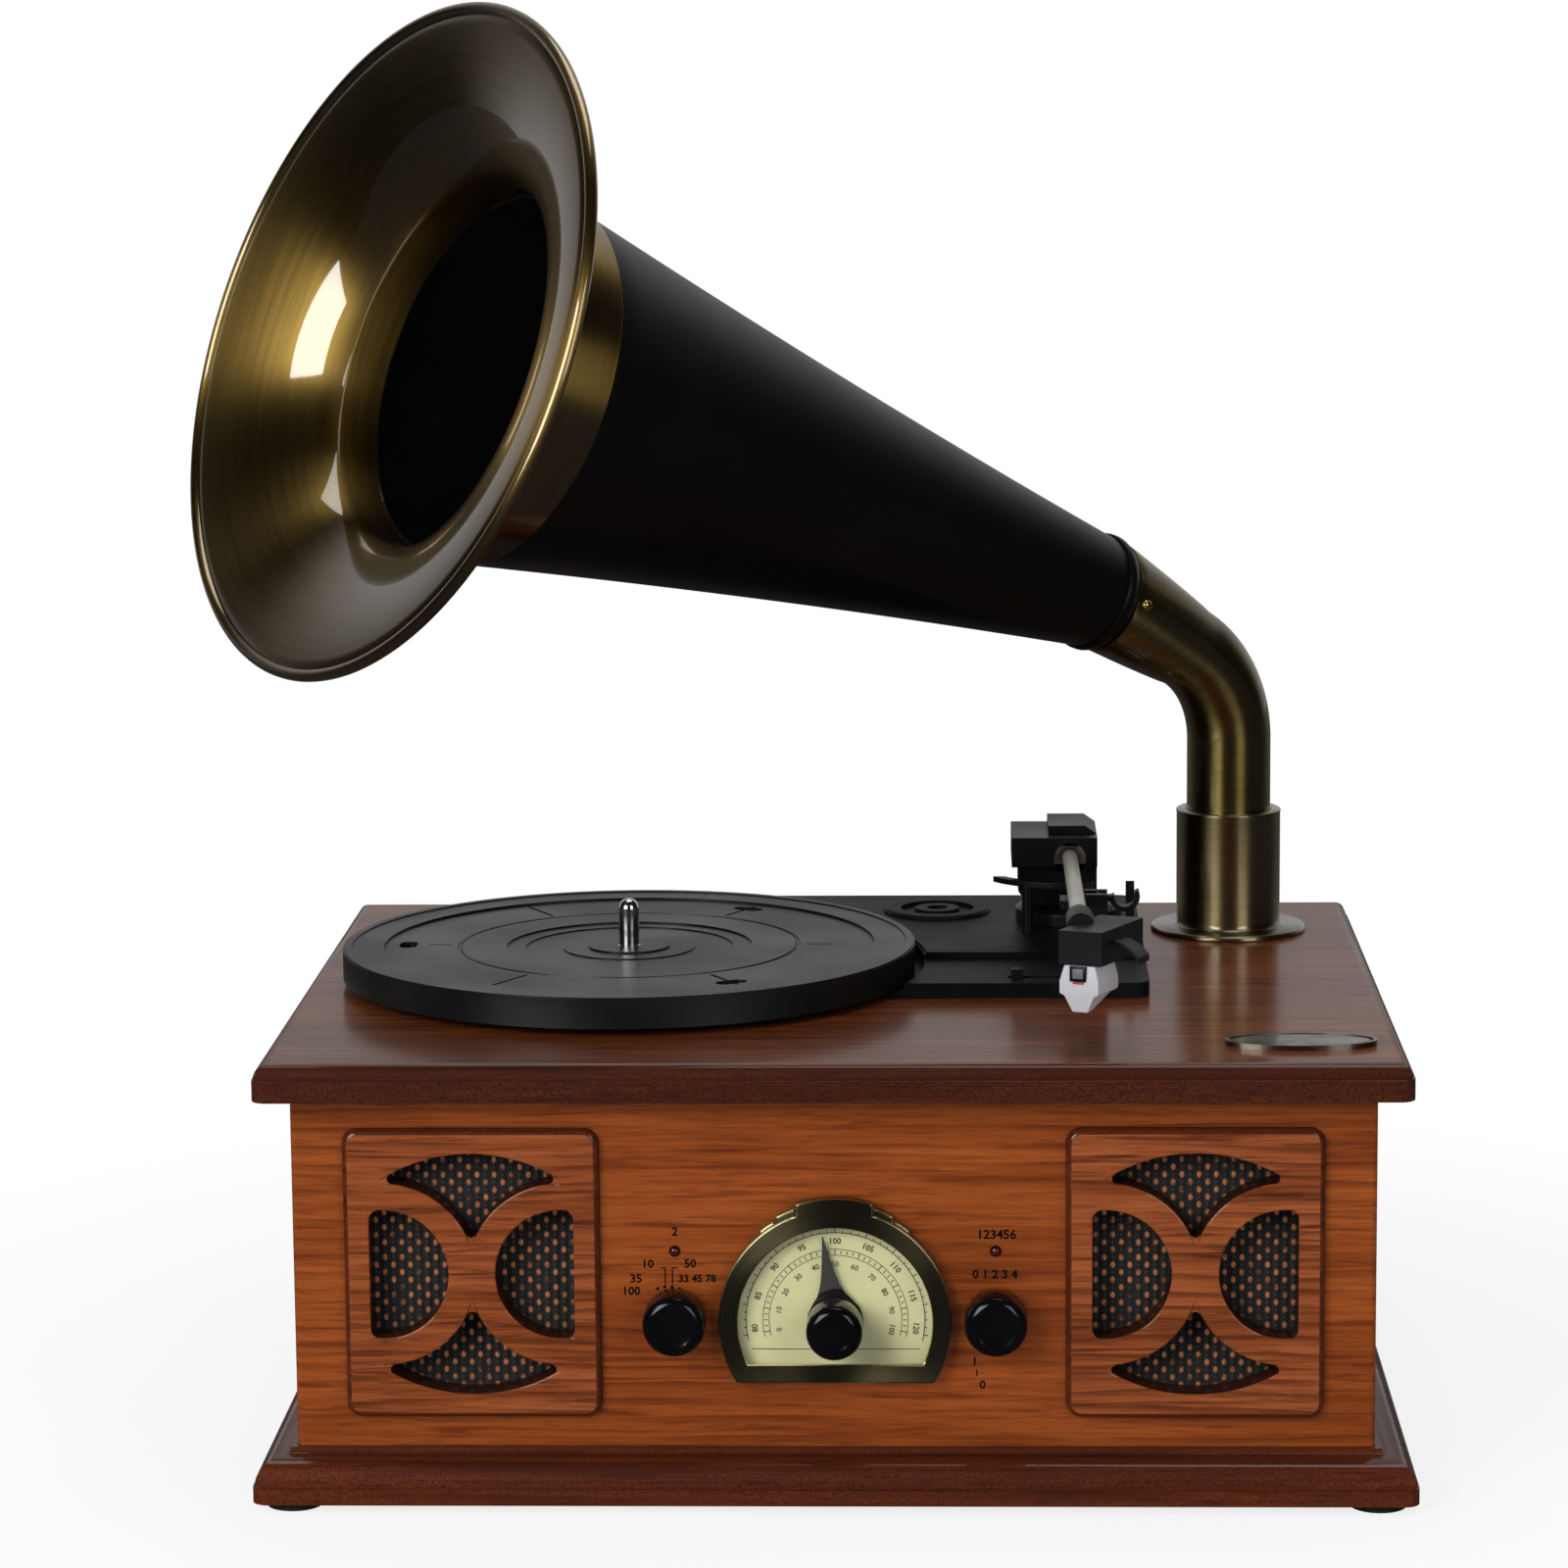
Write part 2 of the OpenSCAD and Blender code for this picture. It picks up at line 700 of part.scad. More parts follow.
module front_panel() {
    color("#944e1e") difference() {
        translate([0, 0, z_body]) linear_extrude(body_h) difference() {
            translate([-cab_w / 2, y_front]) square([cab_w, panel_t]);
            for (side = [-1, 1]) translate([side * cab_w / 2, y_front]) difference() {
                square(2 * edge_r, center = true);
                translate([-side * edge_r, edge_r]) circle(edge_r);
            }
        }
        for (side = [-1, 1]) translate([side * speaker_x, 0, z_speaker]) {
            upright(y_front - over, over + fret_let)
                round_rect(fret_w + 2 * fit, fret_h + 2 * fit, fret_r);
            upright(y_front, panel_t) fret_holes();
            upright(y_cloth, pocket_t + over)
                round_rect(fret_w - cloth_in, fret_h - cloth_in, fret_r);
        }
        upright(y_front - over, over + scale_t + fit) dial_outline(window_r + 2 + fit, window_foot + 2 + fit);
        rod_y([dial_x, y_front - over, z_dial], panel_t + 2 * over, bush_d / 2 + fit);
        for (x = [-knob_x, knob_x]) {
            rod_y([dial_x + x, y_front - over, z_knob], panel_t + 2 * over, bush_d / 2 + fit);
            rod_y([dial_x + x, y_front - over, z_lamp], panel_t + 2 * over, lamp_d / 2 + fit);
        }
    }
}

// One side panel, on the side given by -1 or 1
module side_panel(side) {
    difference() {
        translate([side > 0 ? x_wall : -cab_w / 2, y_panel_rear, z_body])
            cube([panel_t, cab_d - panel_t, body_h]);
        translate([side > 0 ? x_wall - over : -x_wall - rebate_w, y_rear - back_t, z_body - over])
            cube([rebate_w + over, back_t + over, body_h + 2 * over]);
        at_back_screws() translate([0, back_t - over, 0])
            rod_y([0, 0, 0], tap_len + over, hole_d / 2);
    }
}

module left_side_panel() { color("#8a4a1c") side_panel(-1); }
module right_side_panel() { color("#8a4a1c") side_panel(1); }

// Back screws, seen as running forward from the panel's rear face
module at_back_screws() {
    x = x_wall + rebate_w / 2;
    for (sx = [-1, 1], z = [z_body + back_screw_in, z_board - back_screw_in])
        translate([sx * x, y_rear, z]) rotate([0, 0, 180]) children();
}

module back_panel() {
    w = 2 * (x_wall + rebate_w - fit);
    color("#3a2a20") difference() {
        translate([-w / 2, y_rear - back_t, z_body]) cube([w, back_t, body_h]);
        at_back_screws() rod_y([0, -over, 0], back_t + 2 * over, hole_d / 2);
        translate([-jack_w / 2 + 6, y_rear - back_t - over, z_body + 20])
            cube([jack_w - 12, back_t + 2 * over, jack_h - 12]);
        for (x = [-90, 46], row = [0:4])
            translate([x, y_rear - back_t - over, z_body + 70 + row * 7])
                cube([44, back_t + 2 * over, 3]);
    }
}

module back_panel_screws() {
    color("silver") at_back_screws() rotate([-90, 0, 0]) wood_screw();
}

module top_board() {
    color("#5a2c14") difference() {
        translate([0, 0, z_board])
            moulded_slab(cab_w / 2 + board_over, cab_d / 2 + board_over, corner_r, board_h) {
                board_profile(cab_w / 2);
                board_profile(cab_d / 2);
            }
        translate([0, 0, z_board - over]) {
            translate([platter_x, platter_y, 0]) cylinder(board_h + 2 * over, r = bearing_d / 2 + 6);
            translate([motor_x, motor_y, 0]) cylinder(board_h + 2 * over, r = motor_d / 2 + 2);
            translate([arm_x, arm_y, 0]) cylinder(board_h + 2 * over, r = stem_d / 2 + 3);
            translate([horn_x, horn_y, 0]) cylinder(board_h + 2 * over, r = elbow_r - elbow_t);
        }
        translate([speed_x - speed_slot_l / 2, speed_y - 4, z_board - over])
            cube([speed_slot_l, 8, board_h + 2 * over]);
        translate([cue_x - 8, cue_y - 7, z_top - 6]) cube([10, 14, 6 + over]);
        translate([arm_x - 0.5 * lift_r, arm_y - 0.866 * lift_r, z_top - 8])
            cylinder(8 + over, r = 4);
    }
}

// Speakers

// Openings of the fret
module fret_holes() {
    rib_r = side_hole_r + fan_rib;
    for (side = [-1, 1]) intersection() {
        translate([side * side_hole_x, 0]) circle(side_hole_r);
        translate([side * (side_flat_x - 50), 0]) square([100, 4 * side_hole_r], center = true);
    }
    for (up = [-1, 1]) difference() {
        translate([0, -up * fan_drop]) circle(fan_r);
        for (side = [-1, 1]) translate([side * side_hole_x, 0]) circle(rib_r);
        translate([-2 * fan_r, up > 0 ? -2 * fan_r : 0]) square([4 * fan_r, 2 * fan_r]);
        for (side = [-1, 1]) translate([side * (side_hole_x + fan_r), 0])
            square([2 * fan_r, 4 * fan_r], center = true);
    }
}

module speaker_fret(side) {
    translate([side * speaker_x, 0, z_speaker]) upright(y_front + fret_let - fret_t, fret_t)
        difference() {
            round_rect(fret_w, fret_h, fret_r);
            fret_holes();
        }
}

module grille_cloth(side) {
    translate([side * speaker_x, 0, z_speaker]) upright(y_cloth, cloth_t)
        round_rect(fret_w - cloth_in - 2 * fit, fret_h - cloth_in - 2 * fit, fret_r);
}

// Local Z of a speaker runs back from the cloth in the panel's pocket
module at_speaker(side) {
    translate([side * speaker_x, y_cloth + cloth_t, z_speaker]) rotate([-90, 0, 0]) children();
}

// Profile of a thin cone from r1 at z1 to r2 at z2
module cone_wall(r1, z1, r2, z2, t) {
    polygon([[r1, z1], [r2, z2], [r2 - t, z2], [r1 - t, z1]]);
}

module speaker_frame(side) {
    seat = basket_depth - magnet_h;
    at_speaker(side) {
        ring(basket_r, sound_r, basket_t);
        rotate_extrude() cone_wall(sound_r + basket_t, basket_t / 2, magnet_r, seat, basket_t);
        translate([0, 0, seat - basket_t]) ring(magnet_r, coil_r + 2 * air, basket_t);
    }
}

module speaker_cone(side) {
    neck = basket_depth - magnet_h - basket_t;
    at_speaker(side) rotate_extrude() {
        cone_wall(sound_r - 0.4, 0.3, coil_r + 0.4, neck, paper_t);
        translate([coil_r - paper_t, neck - 4]) square([paper_t, 8]);
        translate([0, neck - 4]) square([coil_r, paper_t]);
    }
}

module speaker_magnet(side) {
    at_speaker(side) translate([0, 0, basket_depth - magnet_h]) difference() {
        cylinder(magnet_h, r = magnet_r);
        translate([0, 0, -over]) ring(coil_r + 0.6, coil_r - 1.6, magnet_h / 2 + over);
    }
}

module left_speaker_fret() { color("#a0562a") speaker_fret(-1); }
module right_speaker_fret() { color("#a0562a") speaker_fret(1); }
module left_grille_cloth() { color("#141210") grille_cloth(-1); }
module right_grille_cloth() { color("#141210") grille_cloth(1); }
module left_speaker_frame() { color("#707070") speaker_frame(-1); }
module right_speaker_frame() { color("#707070") speaker_frame(1); }
module left_speaker_cone() { color("#2a2826") speaker_cone(-1); }
module right_speaker_cone() { color("#2a2826") speaker_cone(1); }
module left_speaker_magnet() { color("#505458") speaker_magnet(-1); }
module right_speaker_magnet() { color("#505458") speaker_magnet(1); }

// Dial and controls

// Round outline with a flat foot, centred on the dial
module dial_outline(r, foot) {
    translate([dial_x, z_dial]) intersection() {
        circle(r);
        translate([-2 * r, -foot]) square([4 * r, 4 * r]);
    }
}

// Sector of a ring above the dial, up to a half width
module dial_step(r, half) {
    translate([dial_x, z_dial]) intersection() {
        circle(r);
        translate([-half, 0]) square([2 * half, 2 * r]);
    }
}

module dial_bezel() {
    color("#8a7c4a") {
        difference() {
            union() {
                upright(y_front - bezel_t, bezel_t) dial_outline(bezel_r, bezel_foot);
                upright(y_front - bezel_t, bezel_t)
                    dial_step(bezel_r + plaque_rise, plaque_half);
                upright(y_front - bezel_t + 0.8, bezel_t - 0.8)
                    dial_step(bezel_r + 0.6 * plaque_rise, step_half);
                upright(y_front - bezel_t + 1.6, bezel_t - 1.6)
                    dial_step(bezel_r + 0.25 * plaque_rise, foot_half);
            }
            upright(y_front - bezel_t - over, bezel_t + 2 * over) dial_outline(window_r, window_foot);
            upright(y_lens, bezel_t) dial_outline(window_r + 2, window_foot + 2);
        }
    }
}

module dial_lens() {
    color("#e8f0f0", 0.3) difference() {
        upright(y_lens, lens_t) dial_outline(window_r + 2 - fit, window_foot + 2 - fit);
        rod_y([dial_x, y_lens - over, z_dial], lens_t + 2 * over, shaft_d / 2 + air);
    }
}

module dial_scale_plate() {
    color("#c8c48a") difference() {
        upright(y_front, scale_t) dial_outline(window_r + 2, window_foot + 2);
        rod_y([dial_x, y_front - over, z_dial], scale_t + 2 * over, shaft_d / 2 + air);
    }
}

module tuning_gang() {
    w = 30;
    h = 26;
    color("#9a9c98") difference() {
        union() {
            translate([dial_x - w / 2, y_panel_rear, z_dial - h / 2]) cube([w, 24, h]);
            rod_y([dial_x, y_front + scale_t + 1, z_dial], panel_t, bush_d / 2);
        }
        rod_y([dial_x, y_front - over, z_dial], panel_t + 18, shaft_d / 2 + run_gap);
    }
}

module tuning_shaft() {
    y = y_tune_knob - knob_h + (knob_h - shaft_in);
    color("silver") rod_y([dial_x, y, z_dial], y_panel_rear + 12 - y, shaft_d / 2);
}

// Knob along Y with a round edge, its rear face at y
module knob(at, d) {
    rim = 2;
    translate(at) rotate([90, 0, 0]) difference() {
        rotate_extrude() {
            square([d / 2, knob_h - rim]);
            square([d / 2 - rim, knob_h]);
            translate([d / 2 - rim, knob_h - rim]) circle(rim, $fn = 48);
        }
        translate([0, 0, -over]) cylinder(shaft_in + over, r = shaft_d / 2);
        translate([0, 0, knob_h - 0.6]) cylinder(over, r = d / 2 - 3.5);
    }
}

module tuning_knob() { color("#101012") knob([dial_x, y_tune_knob, z_dial], tune_knob_d); }

module tuning_pointer() {
    hub = 9;
    y = y_lens + lens_t + air;
    color("#101012") difference() {
        upright(y, pointer_t) translate([dial_x, z_dial]) rotate(pointer_lean) {
            circle(hub);
            hull() {
                intersection() {
                    circle(hub, $fn = hull_fn);
                    translate([-hub, 3]) square([2 * hub, hub]);
                }
                translate([0, 15]) circle(1.6, $fn = hull_fn);
            }
            polygon([[-1.6, 15], [1.6, 15], [0.25, pointer_len], [-0.25, pointer_len]]);
        }
        rod_y([dial_x, y - over, z_dial], pointer_t + 2 * over, shaft_d / 2);
    }
}

// Round control behind the panel with its bush through it
module control(x) {
    difference() {
        union() {
            rod_y([x, y_panel_rear, z_knob], control_h, control_d / 2);
            rod_y([x, y_front + over, z_knob], panel_t, bush_d / 2);
            translate([x - 6, y_panel_rear + 2, z_knob - control_d / 2 - 5])
                cube([12, 1.5, control_d / 2]);
        }
        rod_y([x, y_front - over, z_knob], panel_t + control_h - 2, shaft_d / 2 + run_gap);
    }
}

module control_knob(x) {
    knob([x, y_knob, z_knob], knob_d);
    rod_y([x, y_knob - shaft_in, z_knob], shaft_in + knob_gap + panel_t + control_h - 4, shaft_d / 2);
}

module selector_switch() { color("#707478") control(dial_x - knob_x); }
module selector_knob() { color("#101012") control_knob(dial_x - knob_x); }
module volume_control() { color("#707478") control(dial_x + knob_x); }
module volume_knob() { color("#101012") control_knob(dial_x + knob_x); }

// Small lamp with a round tip, through the panel
module lamp(x) {
    rod_y([x, y_front, z_lamp], panel_t + 1, lamp_d / 2);
    translate([x, y_front, z_lamp]) sphere(lamp_d / 2);
    rod_y([x, y_panel_rear, z_lamp], 1, lamp_d / 2 + 0.6);
}

module stereo_lamp() { color("#601818") lamp(dial_x - knob_x); }
module power_lamp() { color("#601818") lamp(dial_x + knob_x); }

module name_plate() {
    color("#9a9a88") translate([plate_x, plate_y, z_top]) linear_extrude(plate_t)
        scale([1, plate_w / plate_l]) circle(plate_l / 2, $fn = 48);
}

// Deck

module at_platter() {
    translate([platter_x, platter_y, 0]) children();
}

// Plan of the deck's raised part, hollowed around the platter
module deck_plan(inset) {
    w = deck_right - deck_left - 2 * inset;
    d = deck_rear - deck_front - 2 * inset;
    difference() {
        translate([(deck_left + deck_right) / 2, (deck_front + deck_rear) / 2])
            round_rect(w, d, deck_r);
        translate([platter_x, platter_y]) circle(deck_hollow_r + inset, $fn = 180);
    }
}

module deck_chassis() {
    color("#17181a") difference() {
        union() {
            translate([0, 0, z_top]) {
                at_platter() cylinder(deck_sheet, r = sheet_r);
                linear_extrude(deck_sheet) intersection() {
                    translate([(deck_left + deck_right) / 2, (deck_front + deck_rear) / 2])
                        round_rect(deck_right - deck_left, deck_rear - deck_front, deck_r);
                    translate([platter_x, platter_y]) circle(deck_hollow_r + 20, $fn = 180);
                }
                linear_extrude(deck_low) deck_plan(0);
                linear_extrude(deck_high - 0.8) intersection() {
                    deck_plan(0);
                    translate([deck_left, deck_riser]) square([400, 400]);
                }
                linear_extrude(deck_high) intersection() {
                    deck_plan(0.8);
                    translate([deck_left, deck_riser + 0.8]) square([400, 400]);
                }
            }
            translate([cue_x - 3.2, cue_y, z_deck - 1]) cue_lug();
            translate([cue_x + 2.2, cue_y, z_deck - 1]) cue_lug();
        }
        translate([0, 0, z_top - over]) {
            at_platter() cylinder(2 * over + deck_sheet, r = bearing_d / 2 + fit);
            translate([motor_x, motor_y, 0]) cylinder(2 * over + deck_sheet, r = 4);
            translate([arm_x, arm_y, 0]) cylinder(20, r = stem_d / 2 + 2 + fit);
            translate([arm_x - 0.5 * lift_r, arm_y - 0.866 * lift_r, 0])
                cylinder(20, r = 2 + air);
        }
        translate([adapter_x, adapter_y, z_deck - adapter_seat])
            cylinder(adapter_seat + over, r = adapter_d / 2 + air);
        translate([speed_x - speed_slot_l / 2, speed_y - speed_slot_w / 2, z_top - over])
            cube([speed_slot_l, speed_slot_w, 20]);
        translate([cue_x + air / 2, cue_y, z_deck + 2]) rotate([0, 90, 0])
            cylinder(20, r = 1 + run_gap, center = true);
    }
}

// Ear that carries the cueing lever's pin
module cue_lug() {
    translate([0, 0, 3]) rotate([0, 90, 0]) cylinder(1, r = 2.4);
    translate([0, -2.4, 0]) cube([1, 4.8, 3]);
}

module spindle_bearing() {
    color("#b8a050") at_platter() difference() {
        union() {
            translate([0, 0, z_top - bearing_len]) cylinder(bearing_len + deck_sheet, r = bearing_d / 2);
            translate([0, 0, z_top - 2]) cylinder(2, r = bearing_d / 2 + 4);
        }
        translate([0, 0, z_spindle_foot - 0.1]) cylinder(2 * bearing_len, r = axle_d / 2 + run_gap);
    }
}

// Half profile of the platter: skirt, raised band, recessed middle and hub
module platter_profile() {
    difference() {
        union() {
            translate([platter_r - platter_t, z_skirt]) square([platter_t, z_platter - z_skirt - 0.5]);
            translate([band_in_r - 1, z_platter - platter_t]) square([platter_r - band_in_r + 0.5, platter_t - 0.4]);
            translate([platter_r - 3, z_platter - 0.5]) square([2.5, 0.5]);
            translate([0, z_middle - platter_t]) square([band_in_r, platter_t]);
            translate([belt_ring_r - 2, z_belt - 1]) square([2, z_middle - z_belt]);
            translate([0, z_skirt + 0.5]) square([hub_r, z_middle - z_skirt - 1]);
        }
        translate([platter_r, z_platter]) circle(0.5, $fn = 24);
        translate([ring_groove_r, z_middle]) circle(0.8, $fn = 24);
        translate([14, z_middle - 0.6]) square([28, over]);
        translate([22.6, z_middle - 1]) square([13, over]);
    }
}

module platter() {
    color("#1b1c1e") at_platter() difference() {
        rotate_extrude($fn = 180) platter_profile();
        cylinder(2 * z_top, r = axle_d / 2 + fit);
        for (turn = [60, 180, 300]) rotate(turn) translate([belt_hole_r, 0, z_skirt])
            linear_extrude(platter_top) {
                square([belt_hole_w, belt_hole_l - belt_hole_w], center = true);
                for (end = [-1, 1]) translate([0, end * (belt_hole_l - belt_hole_w) / 2])
                    circle(belt_hole_w / 2);
            }
        for (turn = [0:60:300]) rotate(turn)
            translate([ring_groove_r + 3, -0.6, z_middle - 0.6])
                cube([(turn % 180 == 0 ? 8 : 20), 1.2, over]);
    }
}

module record_spindle() {
    tip = spindle_d / 2;
    z = z_platter + spindle_up;
    color("#d0d4d8") at_platter() {
        translate([0, 0, z_spindle_foot]) cylinder(z_middle - z_spindle_foot, r = axle_d / 2);
        translate([0, 0, z_middle - over]) cylinder(z - tip - z_middle + over, r = spindle_d / 2);
        translate([0, 0, z - tip]) sphere(tip);
    }
}

// Flat loop around the ring and the pulley: two arcs and two straight runs
module drive_belt() {
    r1 = belt_ring_r + air;
    r2 = pulley_r + air;
    lean = acos((r1 - r2) / motor_r);
    run = motor_r * sin(lean);
    big = 2 * motor_r;
    lap = 0.6;
    color("#0c0c0c") at_platter() translate([0, 0, z_belt]) linear_extrude(belt_h) {
        difference() {
            circle(r1 + belt_t, $fn = 180);
            circle(r1, $fn = 180);
            polygon([[0, 0], big * [cos(lean), sin(lean)], big * [cos(lean), -sin(lean)]]);
        }
        translate([motor_r, 0]) intersection() {
            difference() {
                circle(r2 + belt_t);
                circle(r2);
            }
            polygon([[0, 0], big * [cos(lean), sin(lean)], [big, 0], big * [cos(lean), -sin(lean)]]);
        }
        for (side = [-1, 1]) scale([1, side]) rotate(lean)
            translate([r1 + draw, -run - lap]) square([belt_t - 2 * draw, run + 2 * lap]);
    }
}

module motor_body() {
    color("#8c9094") translate([motor_x, motor_y, 0]) difference() {
        union() {
            translate([0, 0, z_top - motor_h - 4]) cylinder(motor_h, r = motor_d / 2);
            translate([0, 0, z_top - 5]) cylinder(5, r = 6);
        }
        translate([0, 0, z_top - motor_h]) cylinder(motor_h + over, r = motor_shaft_d / 2 + run_gap);
    }
}

module motor_pulley() {
    color("#c8b060") translate([motor_x, motor_y, 0]) {
        translate([0, 0, z_top - 16]) cylinder(z_belt + belt_h - z_top + 16, r = motor_shaft_d / 2);
        translate([0, 0, z_belt - 0.4]) cylinder(belt_h + 0.8, r = pulley_r);
    }
}

// Tonearm

module at_arm() {
    translate([arm_x, arm_y, 0]) children();
}

// Frame of the parked arm: pivot at the origin, tube along -Y
module at_pivot() {
    translate([arm_x, arm_y, z_pivot]) rotate([-arm_rise, 0, 0]) children();
}

module tonearm_foot() {
    color("#2a2c2e") at_arm() difference() {
        union() {
            translate([0, 0, z_deck]) cylinder(foot_ring_h - 2, r = foot_ring_r);
            translate([0, 0, z_foot_ring - 2]) cylinder(2, r1 = foot_ring_r, r2 = foot_ring_r - 3);
            translate([0, 0, z_top - 6]) cylinder(10 + deck_high, r = stem_d / 2 + 2);
        }
        translate([0, 0, z_top - 10]) cylinder(60, r = stem_d / 2 + run_gap);
    }
}

module arm_turret() {
    h = z_cover - air - z_foot_ring - air;
    low = 0.35 * h;
    left = cover_left - 2.3;
    right = cover_right;
    color("#121314") at_arm() difference() {
        union() {
            translate([0, 0, z_top - 4]) cylinder(z_foot_ring - z_top + 6, r = stem_d / 2);
            translate([0, 0, z_foot_ring + air]) intersection() {
                translate([-left, -12, 0]) cube([left + right, 26, h]);
                rotate([90, 0, 0]) translate([0, 0, -20]) linear_extrude(40)
                    polygon([[-left + 4, 0], [right - 3, 0], [right, low], [right, h],
                        [-left, h], [-left, low]]);
            }
        }
        translate([-left + cover_t, -12 + cover_t, z_foot_ring + air + low + 1])
            cube([left + right - 2 * cover_t, 26 - 2 * cover_t, h]);
        translate([-5, -20, z_pivot - 5]) cube([10, 12, 20]);
    }
}

module turret_cover() {
    w = cover_left + cover_right;
    d = cover_front + cover_rear;
    color("#15161a") at_arm() translate([0, 0, z_cover]) difference() {
        union() {
            translate([-cover_left, -cover_front, 0]) cube([w, d, cover_h]);
            translate([-cover_left + 13, 0, cover_h]) rotate([90, 0, 0])
                translate([0, 0, -cover_rear]) linear_extrude(cover_rear + cover_front / 2)
                    polygon([[0, 0], [w - 13, 0], [w - 17, hump_h], [0, hump_h]]);
        }
        translate([-cover_left + cover_t, -cover_front + cover_t, -over])
            cube([w - 2 * cover_t, d - 2 * cover_t, cover_h - cover_t + over]);
        translate([-5.5, -cover_front - over, -over]) cube([11, 2 * over + cover_t, 3.2 + over]);
        rod_y([0, -cover_front - over, 3.2], 2 * over + cover_t, 5.5);
        translate([-cover_left - over, 0, z_pivot - z_cover]) rotate([0, 90, 0])
            cylinder(w + 2 * over, r = pivot_d / 2);
    }
}

module arm_pivot_pin() {
    color("silver") at_arm() translate([-cover_left + 0.4, 0, z_pivot]) rotate([0, 90, 0])
        cylinder(cover_left + cover_right - 0.8, r = pivot_d / 2);
}

// Tube with its carrier block on the level pivot and the weight behind it
module arm_tube() {
    color("#a8a8a6") at_pivot() difference() {
        union() {
            translate([0, 1 - carrier_l / 2, 0]) rotate([90, 0, 0])
                cylinder(tube_len + 1 - carrier_l / 2, r1 = tube_r1, r2 = tube_r2);
            translate([-carrier_w / 2, -carrier_l / 2, -carrier_h / 2]) cube([carrier_w, carrier_l, carrier_h]);
            translate([carrier_w / 2 - weight_w, 5, -5.5]) cube([weight_w, weight_l, weight_h]);
        }
        translate([-20, 0, 0]) rotate([0, 90, 0]) cylinder(40, r = pivot_d / 2 + run_gap);
    }
}

// Frame of the headshell: origin at the cartridge's front, +Y to the rear
module at_shell() {
    at_pivot() translate([front_x, -front_d, 0]) rotate([0, 0, -shell_turn]) children();
}

module headshell() {
    z = shell_top - shell_h;
    bend = 14;
    color("#101113") difference() {
        union() {
            at_shell() translate([-shell_w / 2, 1, z]) cube([shell_w, shell_len, shell_h]);
            at_pivot() translate([0, shell_neck_len - tube_len - over, 0]) rotate([90, 0, 0])
                cylinder(shell_neck_len, r = shell_neck_r);
            at_shell() translate([0, 10, 0]) rotate([90, 0, 0])
                translate([shell_w / 2 - 2, shell_top - 3.5 - bend, -finger_w])
                    linear_extrude(finger_w) intersection() {
                        difference() {
                            circle(bend);
                            circle(bend - 1.2);
                        }
                        square([finger_len + 2, 2 * bend]);
                    }
        }
        at_shell() translate([-shell_w / 2 + shell_t, 1 + shell_t, z - over])
            cube([shell_w - 2 * shell_t, shell_len - 2 * shell_t - 8, shell_h - shell_t + over - 4]);
        at_pivot() rotate([90, 0, 0]) cylinder(tube_len + fit, r = tube_r2 + fit);
    }
}

module cartridge() {
    z = shell_top - shell_h;
    w = cart_w / 2;
    nose = 2.6;
    color("#c8c6c0") at_shell() {
        translate([0, 0, z - 0.05]) intersection() {
            rotate([90, 0, 90]) translate([0, 0, -w]) linear_extrude(cart_w)
                polygon([[0.6, 0], [0, -5], [0, -9], [1, -cart_h], [4, -cart_h],
                    [cart_len, -8.5], [cart_len, 0]]);
            translate([0, cart_len, 0]) rotate([90, 0, 0]) linear_extrude(cart_len)
                polygon([[-w + 1.4, 0], [w - 1.4, 0], [w, -5], [w, -9], [w - 1.6, -9.8],
                    [nose, -cart_h], [-nose, -cart_h], [-w + 1.6, -9.8], [-w, -9], [-w, -5]]);
        }
        translate([-4.5, 1 + shell_t + fit, z - 0.05]) cube([9, 12, shell_h - shell_t - 4.4]);
    }
}

// Rest, clip and levers

module at_rest() {
    translate([arm_x, arm_y - rest_y, 0]) children();
}

module arm_rest() {
    color("#141516") at_rest() difference() {
        union() {
            translate([3.4, -rest_d / 2, z_deck_low]) cube([rest_w - 3.4, rest_d, clip_z - 2.4 - z_deck_low]);
            translate([-5, -rest_d / 2, z_saddle - 3]) cube([rest_w + 1, rest_d, 3]);
            for (y = [-rest_d / 2, clip_w / 2 + air])
                translate([rest_tube_r + 0.6, y, z_saddle - 3])
                    cube([rest_w - rest_tube_r - 0.6, rest_d / 2 - clip_w / 2 - air, clip_z + 2.4 - z_saddle + 3]);
        }
        translate([clip_x - 4.6, -clip_w / 2 - air, clip_z - 2.4])
            cube([20, clip_w + 2 * air, 12]);
        rod_y([clip_x, -rest_d, clip_z], 2 * rest_d, 1 + run_gap);
    }
}

// Open clip: the hook hangs outward and swings up and over the tube
module arm_clip() {
    span = norm([clip_x, z_rest_tube - clip_z]);
    color("#2c2e30") at_rest() translate([clip_x, 0, clip_z]) rotate([0, clip_open, 0]) {
        rod_y([0, -clip_w / 2, 0], clip_w, 2);
        rod_y([0, -rest_d / 2, 0], rest_d, 1);
        translate([-clip_x, 0, z_rest_tube - clip_z]) difference() {
            rod_y([0, -clip_w / 2, 0], clip_w, clip_out_r);
            rod_y([0, -clip_w, 0], 2 * clip_w, clip_in_r);
            translate([-20, -clip_w, -20]) cube([40, 2 * clip_w, 17.6]);
            translate([-20, -clip_w, -20]) cube([20, 2 * clip_w, 20.6]);
        }
        rotate([0, -atan2(z_rest_tube - clip_z, -clip_x), 0])
            translate([0.5, -clip_w / 2 + 0.3, -0.9]) cube([span - clip_in_r - 1.2, clip_w - 0.6, 1.8]);
    }
}

